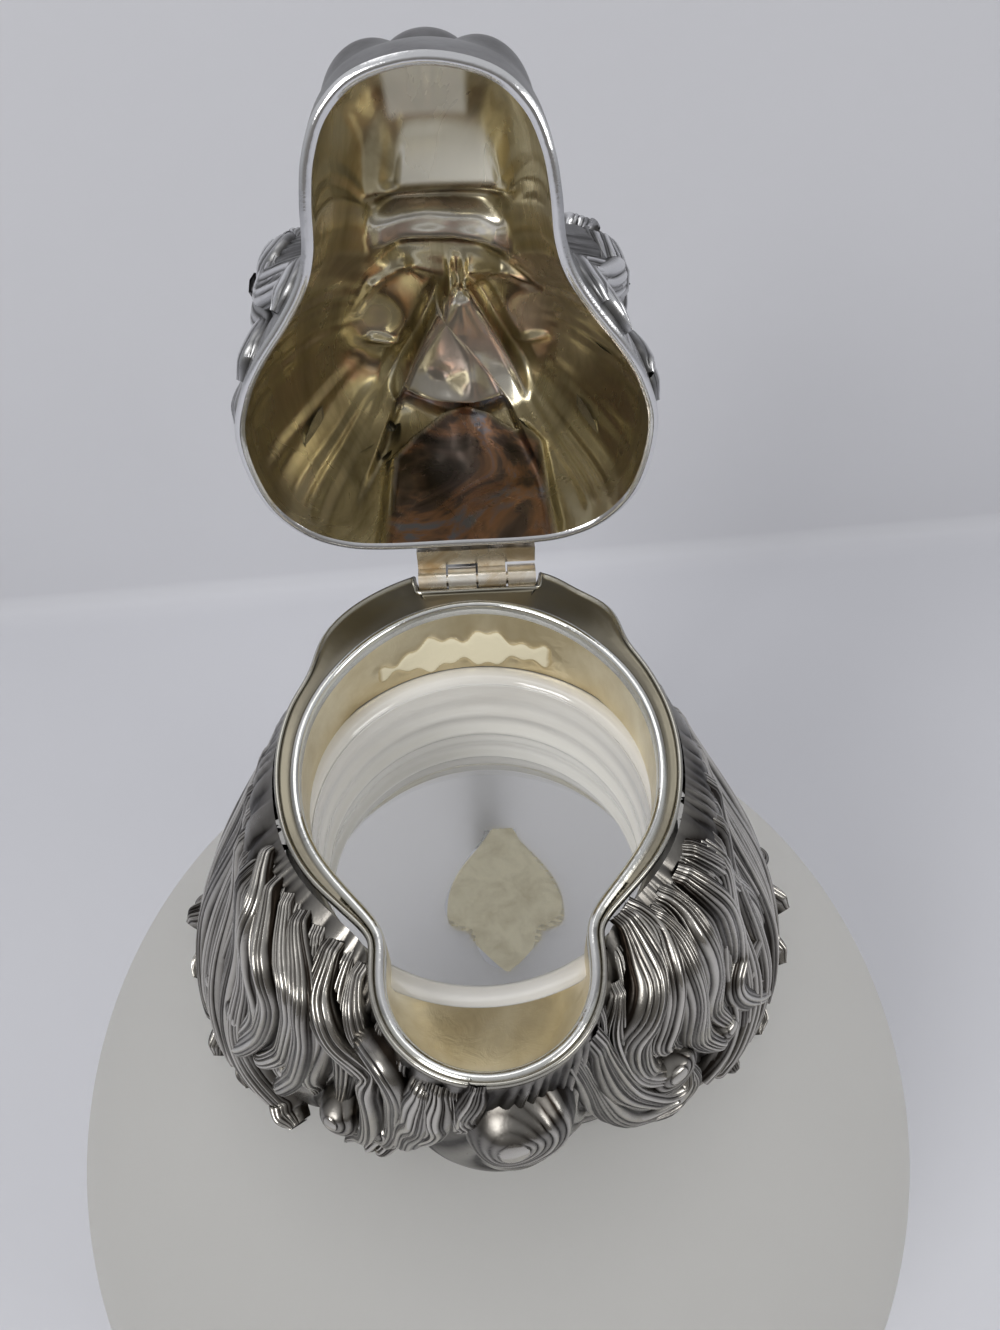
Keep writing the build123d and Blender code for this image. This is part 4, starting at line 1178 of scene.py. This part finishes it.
def leaf_cement_material(pale, dark):
    material, tree, shader = new_material("leaf_cement")
    lumps = noise(tree, 160, 5, 0.6, distortion=0.5)
    tone = ramp(tree, lumps, [(0.3, dark), (0.55, pale), (0.75, tuple(1.12 * c for c in pale))])
    link(tree, tone, shader, "Base Color")
    shader.inputs["Roughness"].default_value = 0.8
    bump(tree, noise(tree, 900, 4, 0.6), 0.5, 0.0003, shader)
    return material


for name in ("rim_knuckles", "hinge_pin", "lid_knuckles"):
    dress(name, hinge_gold)
for name in ("handle", "leaf_plate"):
    dress(name, plain_silver)
dress("leaf_cement", leaf_cement_material((0.72, 0.66, 0.46), (0.55, 0.48, 0.3)))

# ------------------------------------------------------------------ floor, wall and light
def paper(colour):
    """Matt white paper, which can't be seen from behind."""
    material, tree, shader = new_material("paper")
    tone = ramp(tree, noise(tree, 6, 3, 0.5), [(0.35, tuple(c * 0.985 for c in colour)), (0.65, colour)])
    link(tree, tone, shader, "Base Color")
    shader.inputs["Roughness"].default_value = 0.9
    shader.inputs["Specular IOR Level"].default_value = 0.1
    behind = node(tree, "ShaderNodeNewGeometry").outputs["Backfacing"]
    gone = node(tree, "ShaderNodeBsdfTransparent")
    shown = node(tree, "ShaderNodeMixShader", {0: behind, 1: shader.outputs[0], 2: gone.outputs[0]})
    show(tree, shown.outputs[0])
    return material


wall_y, wall_turn = 213.1, radians(3.1)
sweep_y = np.array([-900.0, wall_y - 12, wall_y - 6, wall_y - 2, wall_y, wall_y])[:, None]
sweep_z = np.array([0.0, 0.0, 0.7, 2.8, 7.0, 900.0])[:, None]
sweep_x = np.array([-1500.0, 1500.0])
backdrop_x = sweep_x * cos(wall_turn) - sweep_y * sin(wall_turn)
backdrop_y = sweep_x * sin(wall_turn) + sweep_y * cos(wall_turn)
backdrop = Build()
backdrop.add(np.stack([backdrop_x, backdrop_y, sweep_z + 0 * sweep_x], axis=-1), flip=True)
backdrop_piece = backdrop.finish("backdrop", [paper((0.63, 0.633, 0.665))])

world = bpy.data.worlds.new("studio")
bpy.context.scene.world = world
world.use_nodes = True
sky = world.node_tree
direction = node(sky, "ShaderNodeSeparateXYZ", {0: node(sky, "ShaderNodeTexCoord").outputs["Generated"]})
sky_tone = ramp(
    sky,
    maths(sky, "MULTIPLY_ADD", direction.outputs[2], 0.5, 0.5),
    [(0.3, (0.30, 0.30, 0.31)), (0.55, (0.55, 0.56, 0.58)), (0.9, (0.75, 0.76, 0.78))],
)
# The room behind the camera is darker than the tent over the jug.
toward = ramp(sky, maths(sky, "MULTIPLY", direction.outputs[1], -1.0), [(0.25, 0.0), (0.7, 1.0)])
level = ramp(sky, direction.outputs[2], [(0.3, 1.0), (0.75, 0.0)])
room = maths(sky, "MULTIPLY", toward, level)
sky.links.new(blend_colour(sky, room, sky_tone, (0.26, 0.25, 0.24)), sky.nodes["Background"].inputs[0])
sky.nodes["Background"].inputs[1].default_value = 0.77


def lamp(name, at, aim, size, power, colour=(1, 1, 1)):
    data = bpy.data.lights.new(name, "AREA")
    data.shape = "RECTANGLE"
    data.size, data.size_y = size[0] * MM, size[1] * MM
    data.energy = power
    data.color = colour
    made = bpy.data.objects.new(name, data)
    bpy.context.scene.collection.objects.link(made)
    made.location = Vector(at) * MM
    made.rotation_euler = (Vector(aim) - Vector(at)).to_track_quat("-Z", "Y").to_euler()
    return made


lamp("key", (-380, -420, 620), (0, 0, 150), (300, 300), 2.5)
lamp("fill", (460, -240, 420), (0, 0, 150), (240, 240), 0.8)
lamp("top", (-60, 120, 700), (0, 20, 150), (460, 300), 0.5)

bpy.context.scene.view_settings.view_transform = "Standard"
